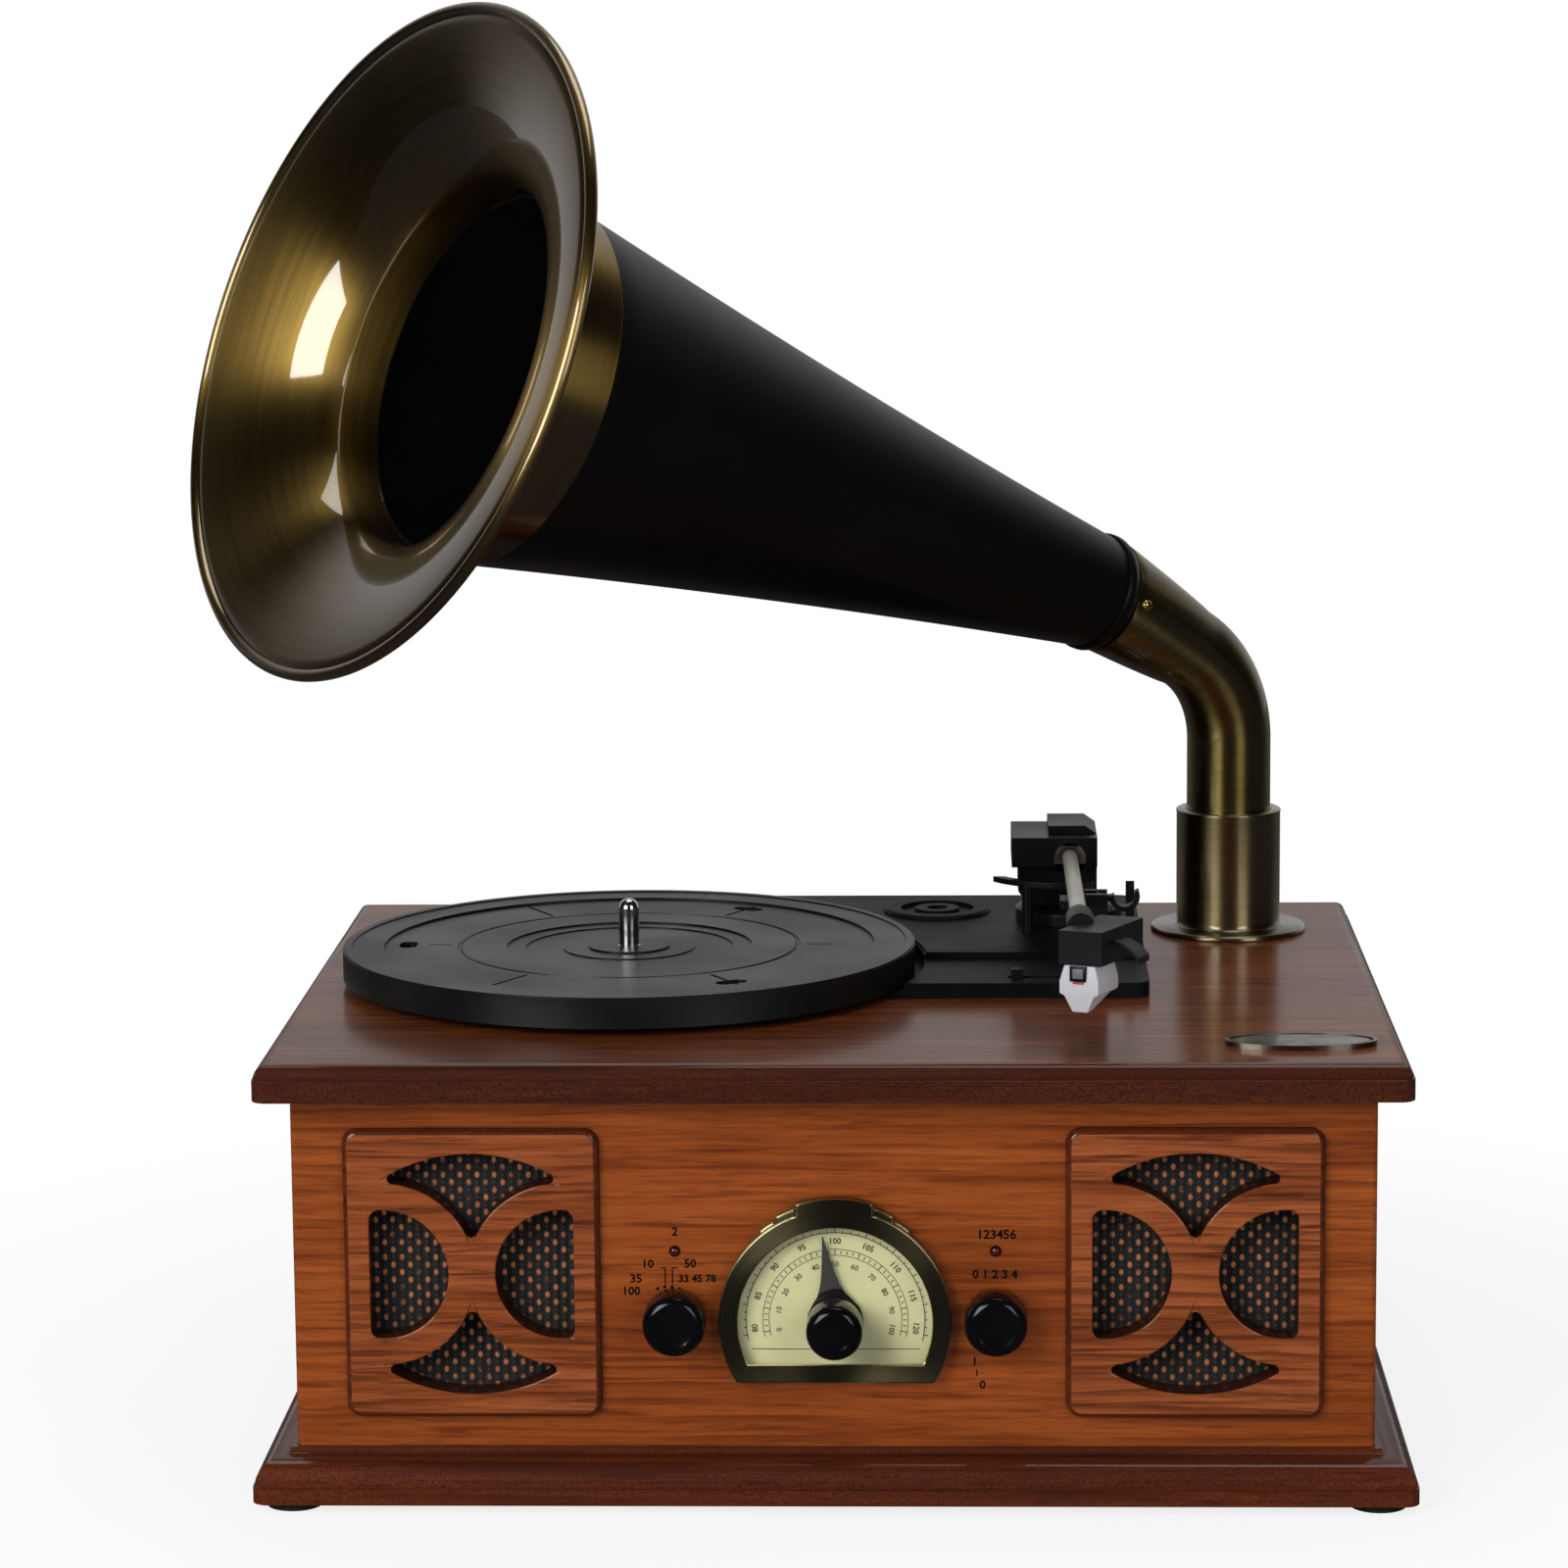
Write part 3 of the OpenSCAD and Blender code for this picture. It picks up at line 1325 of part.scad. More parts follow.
module cue_lever() {
    color("#141516") translate([cue_x, cue_y, z_deck + 2]) {
        rotate([0, 90, 0]) cylinder(6.6, r = 1, center = true);
        rotate([0, 90, 0]) cylinder(3.8, r = 1.9, center = true);
        translate([-1.5, 0, 0]) rotate([90, 0, 90]) linear_extrude(3)
            polygon([[-1.6, 0], [1.6, 0], [1.5, cue_h - 5], [0.4, cue_h - 2],
                [-0.4, cue_h - 2], [-1.5, cue_h - 5]]);
    }
}

module cue_lift_bar() {
    color("#303234") at_arm() {
        translate([0, 0, z_lift - lift_t]) difference() {
            ring(lift_r + lift_w / 2, lift_r - lift_w / 2, lift_t);
            translate([-100, -0.55 * lift_r, -over]) cube([200, 200, 10]);
            translate([8, -100, -over]) cube([100, 200, 10]);
        }
        translate([-0.5 * lift_r, -0.866 * lift_r, z_top - 4]) cylinder(z_lift - lift_t - z_top + 4.5, r = 2);
    }
}

module speed_lever() {
    color("#202224") translate([speed_x - speed_slot_l / 2 + 1, speed_y, 0]) {
        translate([0, -speed_slot_w / 2 + air, z_top - 3]) cube([4, speed_slot_w - 2 * air, deck_low + 6]);
        translate([-0.6, -3.4, z_top - 5]) cube([5.2, 6.8, 2.4]);
    }
}

module adapter_45() {
    color("#1c1d20") translate([adapter_x, adapter_y, z_deck - adapter_seat]) difference() {
        union() {
            cylinder(adapter_h - 1, r = adapter_d / 2);
            translate([0, 0, adapter_h - 1]) cylinder(1, r1 = adapter_d / 2, r2 = adapter_d / 2 - 1);
        }
        translate([0, 0, -over]) cylinder(adapter_h + 2 * over, r = spindle_d / 2 + 0.15);
        translate([0, 0, adapter_h - 1.4]) ring(13, 8, 3);
    }
}

// Horn

module at_horn() {
    translate([horn_x, horn_y, 0]) children();
}

// Frame on the horn's own axis: Z runs from the meeting point to the bell
module on_horn_axis() {
    translate([horn_x, horn_y, z_meet]) rotate([0, 90 - horn_rise, 180 + horn_turn]) children();
}

module horn_socket() {
    color("#8a7c4a") at_horn() difference() {
        union() {
            translate([0, 0, z_top]) cylinder(flange_t, r = flange_r);
            translate([0, 0, z_top]) cylinder(collar_h, r = collar_r);
        }
        translate([0, 0, z_top - over]) cylinder(collar_h + 2 * over, r = elbow_r - elbow_t);
        translate([0, 0, z_elbow_foot - air]) cylinder(collar_h, r = elbow_r + run_gap);
    }
}

// Local Z runs along the elbow's upper leg from the end of its bend
module on_upper_leg() {
    translate([horn_x, horn_y, z_bend]) rotate([0, 0, 180 + horn_turn])
        translate([bend_r * (1 - cos(bend_turn)), 0, bend_r * sin(bend_turn)])
            rotate([0, bend_turn, 0]) children();
}

// Skewed cone from the bend to the mouth, which lies square to the horn
module upper_leg(wall, beyond) {
    hull() {
        on_upper_leg() translate([0, 0, -over - beyond])
            cylinder(draw, r = elbow_r - wall, $fn = hull_fn * 2);
        on_horn_axis() translate([0, 0, mouth_s - draw + beyond])
            cylinder(draw, r = mouth_r - wall, $fn = hull_fn * 2);
    }
}

// Upright leg, bend with its thinned wall, and widening upper leg
module horn_elbow() {
    color("#8a7c4a") {
        at_horn() translate([0, 0, z_elbow_foot]) difference() {
            cylinder(z_bend - z_elbow_foot + over, r = elbow_r);
            translate([0, 0, -over])
                cylinder(z_bend - z_elbow_foot + 3 * over, r = elbow_r - elbow_t);
        }
        translate([horn_x, horn_y, z_bend]) rotate([90, 0, 180 + horn_turn])
            translate([bend_r, 0, 0]) rotate([0, 0, 90 + leg_rise])
                rotate_extrude(angle = bend_turn) translate([bend_r, 0]) difference() {
                    circle(elbow_r - bend_thin);
                    circle(elbow_r - elbow_t + bend_thin);
                }
        difference() {
            upper_leg(0, 0);
            upper_leg(elbow_t, over);
        }
    }
}

module neck_ring() {
    color("#101010") on_horn_axis() difference() {
        union() {
            translate([0, 0, mouth_s]) cylinder(neck_len / 2, r1 = mouth_r, r2 = neck_r);
            translate([0, 0, neck_end - neck_len / 2]) cylinder(neck_len / 2, r = neck_r);
        }
        translate([0, 0, mouth_s - over]) cylinder(neck_len + 2 * over, r = mouth_r - elbow_t);
    }
}

// Outer radius of the cone at a distance along the axis
function cone_at(s) = let(t = (s - neck_end) / (band_s - neck_end))
    cone_foot_r + (cone_r - cone_foot_r) * t - 4 * cone_sag * t * (1 - t);

module horn_cone() {
    steps = 12;
    last = band_s + band_len / 2;
    places = [for (i = [0:steps]) neck_end + (band_s - neck_end) * i / steps];
    outer = [for (s = places) [cone_at(s), s]];
    inner = [for (i = [0:steps]) [outer[steps - i][0] - cone_t, outer[steps - i][1]]];
    color("#121212") on_horn_axis() rotate_extrude($fn = 128) {
        polygon(concat(outer, inner));
        translate([cone_r - cone_t, band_s]) square([cone_t, last - band_s]);
    }
}

// Radius of the bell at a distance past the brass band: slow, then wide
function bell_at(t) = band_r + (rim_r - roll_r - band_r) * (1 - pow(1 - pow(t, 1.7), 0.62));

module horn_bell() {
    steps = 14;
    start = band_s + band_len;
    ts = [for (i = [0:steps]) sin(90 * i / steps)];
    outer = [for (t = ts) [bell_at(t), start + (bell_len - roll_r) * t]];
    inner = [for (i = [0:steps]) outer[steps - i] + [-bell_t * 0.6, bell_t * 0.9]];
    color("#a89048") on_horn_axis() rotate_extrude($fn = 160) {
        translate([cone_r + 0.05, band_s]) square([band_r - cone_r + 0.2, band_len + 0.5]);
        polygon(concat([[cone_r - bell_t / 2, start - band_len / 2 + 0.1], [band_r, start - band_len / 2 + 0.1]],
            outer, inner, [[cone_r - bell_t / 2, start]]));
        translate([rim_r - roll_r, start + bell_len - roll_r]) circle(roll_r, $fn = 32);
    }
}

// Board, transformer and connector plate inside the cabinet
module radio_chassis() {
    color("#2f6b3a") {
        translate([-pcb_w / 2, 0, z_pcb]) cube([pcb_w, pcb_d, pcb_t]);
        for (x = [-1, 1], y = [pcb_d / 13, pcb_d * 12 / 13])
            translate([x * (pcb_w / 2 - pcb_d / 13), y, z_body]) cylinder(spacer_h, r = 3);
        translate([-pcb_w / 3, pcb_d / 6, z_pcb + pcb_t]) cube([tuner_l, tuner_d, tuner_h]);
        for (x = [0, pcb_w / 6]) translate([x, pcb_d / 4, z_pcb + pcb_t]) cylinder(cap_h, r = cap_r);
        translate([-pcb_w / 12, pcb_d * 5 / 8, z_pcb + pcb_t]) cube([sink_l, 3, sink_h]);
    }
    color("#6a5a3a") translate([x_wall - trafo_gap - trafo_w, y_rear - trafo_back - trafo_d, z_body])
        cube([trafo_w, trafo_d, trafo_h]);
    color("#202020") translate([-jack_w / 2, y_rear - back_t - jack_t, z_body + 14])
        cube([jack_w, jack_t, jack_h]);
}

plinth_moulding();
base_panel();
front_panel();
left_side_panel();
right_side_panel();
back_panel();
back_panel_screws();
top_board();
rubber_feet();
foot_screws();
left_speaker_fret();
right_speaker_fret();
left_grille_cloth();
right_grille_cloth();
left_speaker_frame();
right_speaker_frame();
left_speaker_cone();
right_speaker_cone();
left_speaker_magnet();
right_speaker_magnet();
dial_bezel();
dial_lens();
dial_scale_plate();
tuning_gang();
tuning_shaft();
tuning_knob();
tuning_pointer();
selector_switch();
selector_knob();
volume_control();
volume_knob();
stereo_lamp();
power_lamp();
name_plate();
deck_chassis();
spindle_bearing();
platter();
record_spindle();
drive_belt();
motor_body();
motor_pulley();
tonearm_foot();
arm_turret();
turret_cover();
arm_pivot_pin();
arm_tube();
headshell();
cartridge();
arm_rest();
arm_clip();
cue_lever();
cue_lift_bar();
speed_lever();
adapter_45();
horn_socket();
horn_elbow();
neck_ring();
horn_cone();
horn_bell();
radio_chassis();
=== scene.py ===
# %% [markdown]
# A horn gramophone in a wooden cabinet. This lesson dresses a measured CAD model: the wood gets
# veneer and lacquer, the deck gets moulded plastic, the horn gets black paint and antique brass.
# The first step loads the imported model, bakes each mesh's place into its own vertices, and
# drops the empties.

# %% Load the imported model
import bpy
import bmesh
import math
from mathutils import Matrix, Vector


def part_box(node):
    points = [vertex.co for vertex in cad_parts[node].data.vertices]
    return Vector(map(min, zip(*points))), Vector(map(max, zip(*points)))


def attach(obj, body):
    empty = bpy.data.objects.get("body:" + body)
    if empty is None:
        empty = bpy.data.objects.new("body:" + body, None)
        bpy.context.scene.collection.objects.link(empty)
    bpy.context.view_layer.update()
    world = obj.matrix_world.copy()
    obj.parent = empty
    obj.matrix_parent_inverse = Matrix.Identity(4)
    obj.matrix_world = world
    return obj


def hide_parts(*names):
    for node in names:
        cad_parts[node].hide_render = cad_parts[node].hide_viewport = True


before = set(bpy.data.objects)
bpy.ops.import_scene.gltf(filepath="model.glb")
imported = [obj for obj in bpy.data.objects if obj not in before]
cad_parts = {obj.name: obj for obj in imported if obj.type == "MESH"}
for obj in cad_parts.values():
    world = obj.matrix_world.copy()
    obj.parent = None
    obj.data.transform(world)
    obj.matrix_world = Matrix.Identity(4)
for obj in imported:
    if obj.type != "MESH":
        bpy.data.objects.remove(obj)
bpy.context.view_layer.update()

# %% [markdown]
# The camera stands where the photographer stood: a little right of the middle, 1.66 m in front,
# looking slightly down with a long lens. Its axes are written out as a matrix, so the small roll
# of the picture is part of it.

# %% Place the camera
CAMERA_AT, LENS_MM = (0.04176, -1.65775, 0.4785), 112.98
YAW, PITCH, ROLL = (math.radians(a) for a in (2.1, 9.09, -0.53))
look = Vector((-math.sin(YAW) * math.cos(PITCH), math.cos(YAW) * math.cos(PITCH), -math.sin(PITCH)))
level_right = Vector((math.cos(YAW), math.sin(YAW), 0))
level_up = level_right.cross(look)
cam_right = level_right * math.cos(ROLL) + level_up * math.sin(ROLL)
cam_up = level_up * math.cos(ROLL) - level_right * math.sin(ROLL)


def new_object(name, data):
    made = bpy.data.objects.new(name, data)
    bpy.context.scene.collection.objects.link(made)
    return made


camera = new_object("camera", bpy.data.cameras.new("camera"))
camera.data.sensor_width = 36
camera.data.lens = LENS_MM
camera.data.clip_end = 50
cam_axes = Matrix((cam_right, cam_up, -look)).transposed().to_4x4()
camera.matrix_world = Matrix.Translation(CAMERA_AT) @ cam_axes
bpy.context.scene.camera = camera
bpy.context.scene.view_settings.view_transform = "Standard"
print("camera looks along", tuple(round(v, 3) for v in look))

# %% [markdown]
# Every new piece is built in millimetres in a bmesh and then scaled to metres, because small
# whole numbers are easier to check. The helper below turns a bmesh into an object that rides on
# its body, smooth except at its sharp edges. Flat faces next to rounded ones need either normals
# weighted by area, or creases where the flat faces end.

# %% Turn a bmesh into a piece
MM = 0.001
QUARTER = math.pi / 2


def crease(bm, is_flat):
    for edge in bm.edges:
        edge.smooth = len({bool(is_flat(f)) for f in edge.link_faces}) < 2


def make_piece(bm, name, body, slot, *materials, stands_for=(), sharp=32, even=False, creased=False):
    bmesh.ops.scale(bm, vec=(MM, MM, MM), verts=bm.verts)
    mesh = bpy.data.meshes.new(name)
    bm.edges.index_update()
    kept = [e.index for e in bm.edges if not e.smooth] if creased else []
    bm.to_mesh(mesh)
    bm.free()
    for material in materials:
        mesh.materials.append(material)
    mesh.shade_smooth()
    mesh.set_sharp_from_angle(angle=math.radians(sharp))
    for index in kept:
        mesh.edges[index].use_edge_sharp = True
    piece = new_object(name, mesh)
    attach(piece, body)
    if even:
        piece.modifiers.new("even_normals", "WEIGHTED_NORMAL").keep_sharp = True
    if stands_for:
        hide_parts(*stands_for)
    print(name, len(mesh.polygons), "faces")
    return piece


# %% [markdown]
# Round things such as the horn, the knobs and the spindle are turned on a lathe. Here a half
# profile, given as radius and height, is spun once around Z, closed at its poles, and then put on
# its own axis by a matrix.

# %% Spin a profile like a lathe
WELD = 0.0005


def turned(profile, steps, place=Matrix.Identity(4)):
    bm = bmesh.new()
    verts = [bm.verts.new((r, 0, z)) for r, z in profile]
    edges = [bm.edges.new(pair) for pair in zip(verts, verts[1:] + verts[:1])]
    bmesh.ops.spin(bm, geom=verts + edges, cent=(0, 0, 0), axis=(0, 0, 1), dvec=(0, 0, 0),
                   angle=2 * math.pi, steps=steps, use_merge=True, use_duplicate=False)
    bmesh.ops.remove_doubles(bm, verts=bm.verts, dist=WELD)
    bmesh.ops.delete(bm, geom=[e for e in bm.edges if not e.link_faces], context="EDGES")
    bmesh.ops.recalc_face_normals(bm, faces=bm.faces)
    bmesh.ops.transform(bm, matrix=place, verts=bm.verts)
    return bm


def lathe(profile, place, name, body, slot, *materials, stands_for=(), steps=128, sharp=40):
    make_piece(turned(profile, steps, place), name, body, slot, *materials, stands_for=stands_for,
               sharp=sharp)


def facing_front(x, y, z):
    """A place whose axis points out of the front panel"""
    return Matrix.Translation((x, y, z)) @ Matrix.Rotation(QUARTER, 4, "X")


# %% [markdown]
# Nothing that is moulded, cast or sanded has a knife edge. The next helpers copy a CAD node, join
# its loose triangles into flat faces, and round its sharp edges a little, so that they catch the
# light as real edges do. The others thicken a flat outline, make a box, give faces another of the
# piece's materials, and join one mesh to another.

# %% Copy a CAD node and soften its edges
CAD_WELD, FLAT_WITHIN = 0.002, math.radians(0.6)


def cad_copy(node):
    bm = bmesh.new()
    bm.from_mesh(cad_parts[node].data)
    bmesh.ops.scale(bm, vec=(1 / MM, 1 / MM, 1 / MM), verts=bm.verts)
    bmesh.ops.remove_doubles(bm, verts=bm.verts, dist=CAD_WELD)
    bmesh.ops.dissolve_limit(bm, angle_limit=FLAT_WITHIN, use_dissolve_boundaries=False,
                             verts=bm.verts, edges=bm.edges, delimit=set())
    return bm


def soften(bm, width, segments=2, angle=30, where=None):
    edges = [e for e in bm.edges if len(e.link_faces) == 2 and e.is_convex
             and e.calc_face_angle(0) > math.radians(angle) and (where is None or where(e))]
    bmesh.ops.bevel(bm, geom=edges, offset=width, offset_type="OFFSET", segments=segments,
                    profile=0.5, affect="EDGES", clamp_overlap=True, material=-1)
    return bm


def verts_of(result, key="geom"):
    return [v for v in result[key] if isinstance(v, bmesh.types.BMVert)]


def thicken(bm, vec):
    made = bmesh.ops.extrude_face_region(bm, geom=bm.faces[:])
    bmesh.ops.translate(bm, vec=vec, verts=verts_of(made))
    bmesh.ops.recalc_face_normals(bm, faces=bm.faces)


def box_part(low, high):
    part = bmesh.new()
    bmesh.ops.create_cube(part, size=1)
    bmesh.ops.scale(part, vec=[b - a for a, b in zip(low, high)], verts=part.verts)
    bmesh.ops.translate(part, vec=[(a + b) / 2 for a, b in zip(low, high)], verts=part.verts)
    return part


def paint_faces(bm, index, test):
    for face in bm.faces:
        if test(face):
            face.material_index = index


def join(bm, part):
    mesh = bpy.data.meshes.new("part")
    part.to_mesh(mesh)
    part.free()
    bm.from_mesh(mesh)
    bpy.data.meshes.remove(mesh)


# %% [markdown]
# Materials are built from a Principled shader. These helpers make one with its plain values set
# straight on its sockets, and add texture nodes to it: inputs that are sockets get linked, and all
# others are set.

# %% Start a material
def new_material(name, **values):
    material = bpy.data.materials.new(name)
    material.use_nodes = True
    tree = material.node_tree
    shader = tree.nodes["Principled BSDF"]
    for socket, value in values.items():
        shader.inputs[socket.replace("_", " ")].default_value = value
    return material, tree, shader


def add(tree, kind, inputs=(), **settings):
    node = tree.nodes.new("ShaderNode" + kind)
    for key, value in settings.items():
        setattr(node, key, value)
    for socket, value in inputs:
        if hasattr(value, "is_output"):
            tree.links.new(value, node.inputs[socket])
        else:
            node.inputs[socket].default_value = value
    return node


def link(tree, sockets, **outputs):
    for label, output in outputs.items():
        tree.links.new(output, sockets[label.replace("_", " ")])


def maths(tree, operation, a, b, **settings):
    return add(tree, "Math", [(0, a), (1, b)], operation=operation, **settings).outputs[0]


def product(tree, a, b):
    return maths(tree, "MULTIPLY", a, b)


def vectors(tree, operation, *inputs):
    node = add(tree, "VectorMath", enumerate(inputs), operation=operation)
    return node.outputs["Value" if operation == "LENGTH" else "Vector"]


def noise(tree, where, scale, detail=2.0, roughness=0.5, distortion=0.0):
    return add(tree, "TexNoise", [("Vector", where), ("Scale", scale), ("Detail", detail),
               ("Roughness", roughness), ("Distortion", distortion)]).outputs[0]


def ranged(tree, value, low, high, to_low=0.0, to_high=1.0, way="LINEAR"):
    return add(tree, "MapRange", [("Value", value), ("From Min", low), ("From Max", high),
               ("To Min", to_low), ("To Max", to_high)], interpolation_type=way).outputs[0]


def window(tree, value, low, high):
    return ranged(tree, value, low, high, way="SMOOTHSTEP")


def blend_colours(tree, share, first, second):
    return add(tree, "Mix", [("Factor", share), (6, first), (7, second)], data_type="RGBA").outputs[2]


def rgb(code):
    parts = [int(code[i:i + 2], 16) / 255 for i in (0, 2, 4)]
    return tuple(p / 12.92 if p <= 0.04045 else ((p + 0.055) / 1.055) ** 2.4 for p in parts) + (1,)


# %% [markdown]
# Wood, plastic and brass each get their pattern from a node group. All three groups turn
# coordinates and a few values into a colour, a roughness and a height, and one helper runs them
# into a shader, with the height as a bump.

# %% Pattern groups
def new_group(name, **inputs):
    tree = bpy.data.node_groups.new(name, "ShaderNodeTree")
    tree.interface.new_socket("Vector", in_out="INPUT", socket_type="NodeSocketVector")
    for label, value in inputs.items():
        kind = "Color" if isinstance(value, tuple) else "Float"
        socket = tree.interface.new_socket(label, in_out="INPUT", socket_type="NodeSocket" + kind)
        socket.default_value = value
    for label, kind in (("Color", "Color"), ("Roughness", "Float"), ("Height", "Float")):
        tree.interface.new_socket(label, in_out="OUTPUT", socket_type="NodeSocket" + kind)
    return tree, tree.nodes.new("NodeGroupInput").outputs, tree.nodes.new("NodeGroupOutput").inputs


def patterned(tree, shader, pattern, where, strength, distance, **values):
    group = add(tree, "Group", [("Vector", where), *values.items()], node_tree=pattern).outputs
    bump = add(tree, "Bump", [("Height", group["Height"]), ("Strength", strength), ("Distance", distance)])
    link(tree, shader.inputs, Base_Color=group["Color"], Roughness=group["Roughness"],
         Normal=bump.outputs[0])


# %% [markdown]
# The veneer shows four sizes of pattern: growth bands that waver along the board, dark streaks a
# few centimetres long, fine fibres, and short pores. The solid stained mouldings show a fine
# speckle instead. The group makes all of them from stretched noise. X is along the grain, so each
# material turns its own coordinates to suit its board.

# %% Wood grain group
grain, g_in, g_out = new_group("wood_grain", Light=rgb("93481d"), Mid=rgb("813c14"), Dark=rgb("571f06"),
                               Bands=60.0, Waver=5.0, Streaks=0.8, Speckle=0.0)


def stretched(x, across, detail, roughness=0.55, distortion=0.0):
    at = vectors(grain, "MULTIPLY", g_in["Vector"], (x, across, across))
    return noise(grain, at, 1.0, detail, roughness, distortion)


slow = vectors(grain, "MULTIPLY", g_in["Vector"], (0.16, 1, 1))
bands = add(grain, "TexWave", [("Vector", slow), ("Scale", g_in["Bands"]), ("Distortion", g_in["Waver"]),
            ("Detail", 3.0), ("Detail Scale", 0.55), ("Detail Roughness", 0.62)],
            wave_type="BANDS", bands_direction="Z", wave_profile="SAW")
band_mask = window(grain, bands.outputs["Fac"], 0.45, 1.0)
fibre = stretched(26, 900, 3.0, 0.6)
line = product(grain, product(grain, band_mask, window(grain, stretched(9, 34, 2.0), 0.36, 0.6)), 0.7)
streak = product(grain, window(grain, stretched(19, 380, 4.0, 0.6, 0.6), 0.46, 0.72), g_in["Streaks"])
fleck = noise(grain, g_in["Vector"], 1500.0)
speckle = product(grain, window(grain, fleck, 0.42, 0.62), g_in["Speckle"])
pore_mask = window(grain, stretched(75, 1500, 1.0), 0.56, 0.68)
darker = maths(grain, "MAXIMUM", maths(grain, "MAXIMUM", line, streak), speckle)
zone = product(grain, window(grain, stretched(5, 52, 2.0, 0.5, 0.8), 0.38, 0.62), 0.6)
fibres = product(grain, window(grain, fibre, 0.3, 0.7), 0.6)
toned = maths(grain, "ADD", zone, fibres, use_clamp=True)
tone = blend_colours(grain, toned, g_in["Light"], g_in["Mid"])
lined = blend_colours(grain, darker, tone, g_in["Dark"])
pored = blend_colours(grain, product(grain, pore_mask, 0.35), lined, g_in["Dark"])
link(grain, g_out, Color=pored, Roughness=ranged(grain, fibre, 0.0, 1.0, 0.42, 0.6),
     Height=maths(grain, "SUBTRACT", fibre, pore_mask))
print("wood grain group:", len(grain.nodes), "nodes")


# %% [markdown]
# Each board is cut from its own piece of veneer, so each gets its own turn and shift of the same
# grain, under a coat of lacquer that gives the sharp gloss over the softer wood.

# %% Lacquered woods
def wood(name, light, mid, dark, turn=(0, 0, 0), shift=(0, 0, 0), bands=52, waver=5.0, streaks=0.8,
         speckle=0.0, coat=0.35, coat_rough=0.1):
    material, tree, shader = new_material(name, Coat_Weight=coat, Coat_Roughness=coat_rough,
                                          Specular_IOR_Level=0.08)
    where = add(tree, "TexCoord").outputs["Object"]
    mapping = add(tree, "Mapping", [("Vector", where), ("Location", shift), ("Rotation", turn)])
    patterned(tree, shader, grain, mapping.outputs[0], 0.3, 0.1 * MM, Light=rgb(light), Mid=rgb(mid),
              Dark=rgb(dark), Bands=bands, Waver=waver, Streaks=streaks, Speckle=speckle)
    return material


veneer_front = wood("veneer_front", "944a1a", "7a3910", "501d06", shift=(0.11, 0.3, 0.02))
veneer_side = wood("veneer_side", "8e4718", "74350e", "4c1b05", turn=(0, 0, QUARTER),
                   shift=(0.4, 0.1, 0.3))
veneer_top = wood("veneer_top", "78401e", "5c2c12", "3a1707", turn=(QUARTER, 0, 0),
                  shift=(0.2, 0.5, 0.1), coat=0.6, coat_rough=0.17)
fret_wood = wood("fret_wood", "96502a", "773915", "421906", shift=(0.53, 0.07, 0.41), waver=9.0,
                 bands=64, streaks=0.95)
moulding_wood = wood("moulding_wood", "642c12", "4e200c", "280c04", shift=(0.7, 0.2, 0.6), bands=30,
                     streaks=0.5, speckle=0.6, coat=0.6)
board_edge = wood("board_edge", "50220e", "3f190a", "240c04", shift=(0.1, 0.2, 0.6), bands=24,
                  streaks=0.35, speckle=0.7, coat=0.5)
# near-black wood for the walls of the deep openings: painted shade
bore_painted_shade = wood("bore_painted_shade", "3a1c12", "2c150d", "160a06", shift=(0.3, 0.2, 0.6), streaks=0.4,
                  speckle=0.5, coat=0.2)
back_board = wood("back_board", "42301f", "382818", "241810", coat=0.0)
print("woods from", veneer_front.name, "to", back_board.name)

# %% [markdown]
# Moulded plastic and paint are never one flat tone: the mould leaves a fine skin, and handling
# leaves patches that are a little smoother. One group gives that mottle to all of them.

# %% Moulded skin group
FINE, PLAIN, DULL, COARSE = 0.00001, 0.00003, 0.00006, 0.0001
skin, s_in, s_out = new_group("moulded_skin", Tone=(0.02, 0.02, 0.02, 1), Worn=(0.04, 0.04, 0.04, 1),
                              Grit=1400.0, Smooth=0.3, Rough=0.42)
cloud = noise(skin, s_in["Vector"], 26.0, 3.0)
shade = blend_colours(skin, ranged(skin, cloud, 0.35, 0.7), s_in["Tone"], s_in["Worn"])
link(skin, s_out, Color=shade, Roughness=ranged(skin, cloud, 0.3, 0.7, s_in["Smooth"], s_in["Rough"]),
     Height=noise(skin, s_in["Vector"], s_in["Grit"]))


def moulded(name, tone, worn, smooth=0.3, rough=0.42, grit=1400, depth=PLAIN, **values):
    material, tree, shader = new_material(name, **values)
    where = add(tree, "TexCoord").outputs["Object"]
    patterned(tree, shader, skin, where, 0.4, depth, Tone=rgb(tone), Worn=rgb(worn), Grit=grit,
              Smooth=smooth, Rough=rough)
    return material


# %% Plastics, paints, rubber and plain metals
deck_black = moulded("deck_black", "0e0f11", "15161a", 0.36, 0.48, Specular_IOR_Level=0.04)
platter_black = moulded("platter_black", "0d0e10", "141518", 0.3, 0.42, 1800, Specular_IOR_Level=0.3)
gloss_black = moulded("gloss_black", "060609", "09090d", 0.14, 0.22, 900, FINE, Coat_Weight=0.25,
                      Specular_IOR_Level=0.15)
arm_black = moulded("arm_black", "0c0d10", "131417", 0.3, 0.45, Specular_IOR_Level=0.2)
lever_grey = moulded("lever_grey", "55585b", "66696c", 0.35, 0.5)
rubber = moulded("rubber", "141414", "1e1e1d", 0.7, 0.85, 2200, DULL)
cone_paint = moulded("cone_paint", "050508", "08080b", 0.34, 0.42, 2600, FINE, Coat_Weight=0.15,
                     Coat_Roughness=0.3, Specular_IOR_Level=0.2)
cone_inside = moulded("cone_inside", "070608", "0a0809", 0.14, 0.22, 2600, FINE, Coat_Weight=1.0,
                      Coat_Roughness=0.12, Coat_IOR=1.7)
paper = moulded("paper", "2a2826", "343230", 0.8, 0.9, 1600, COARSE)
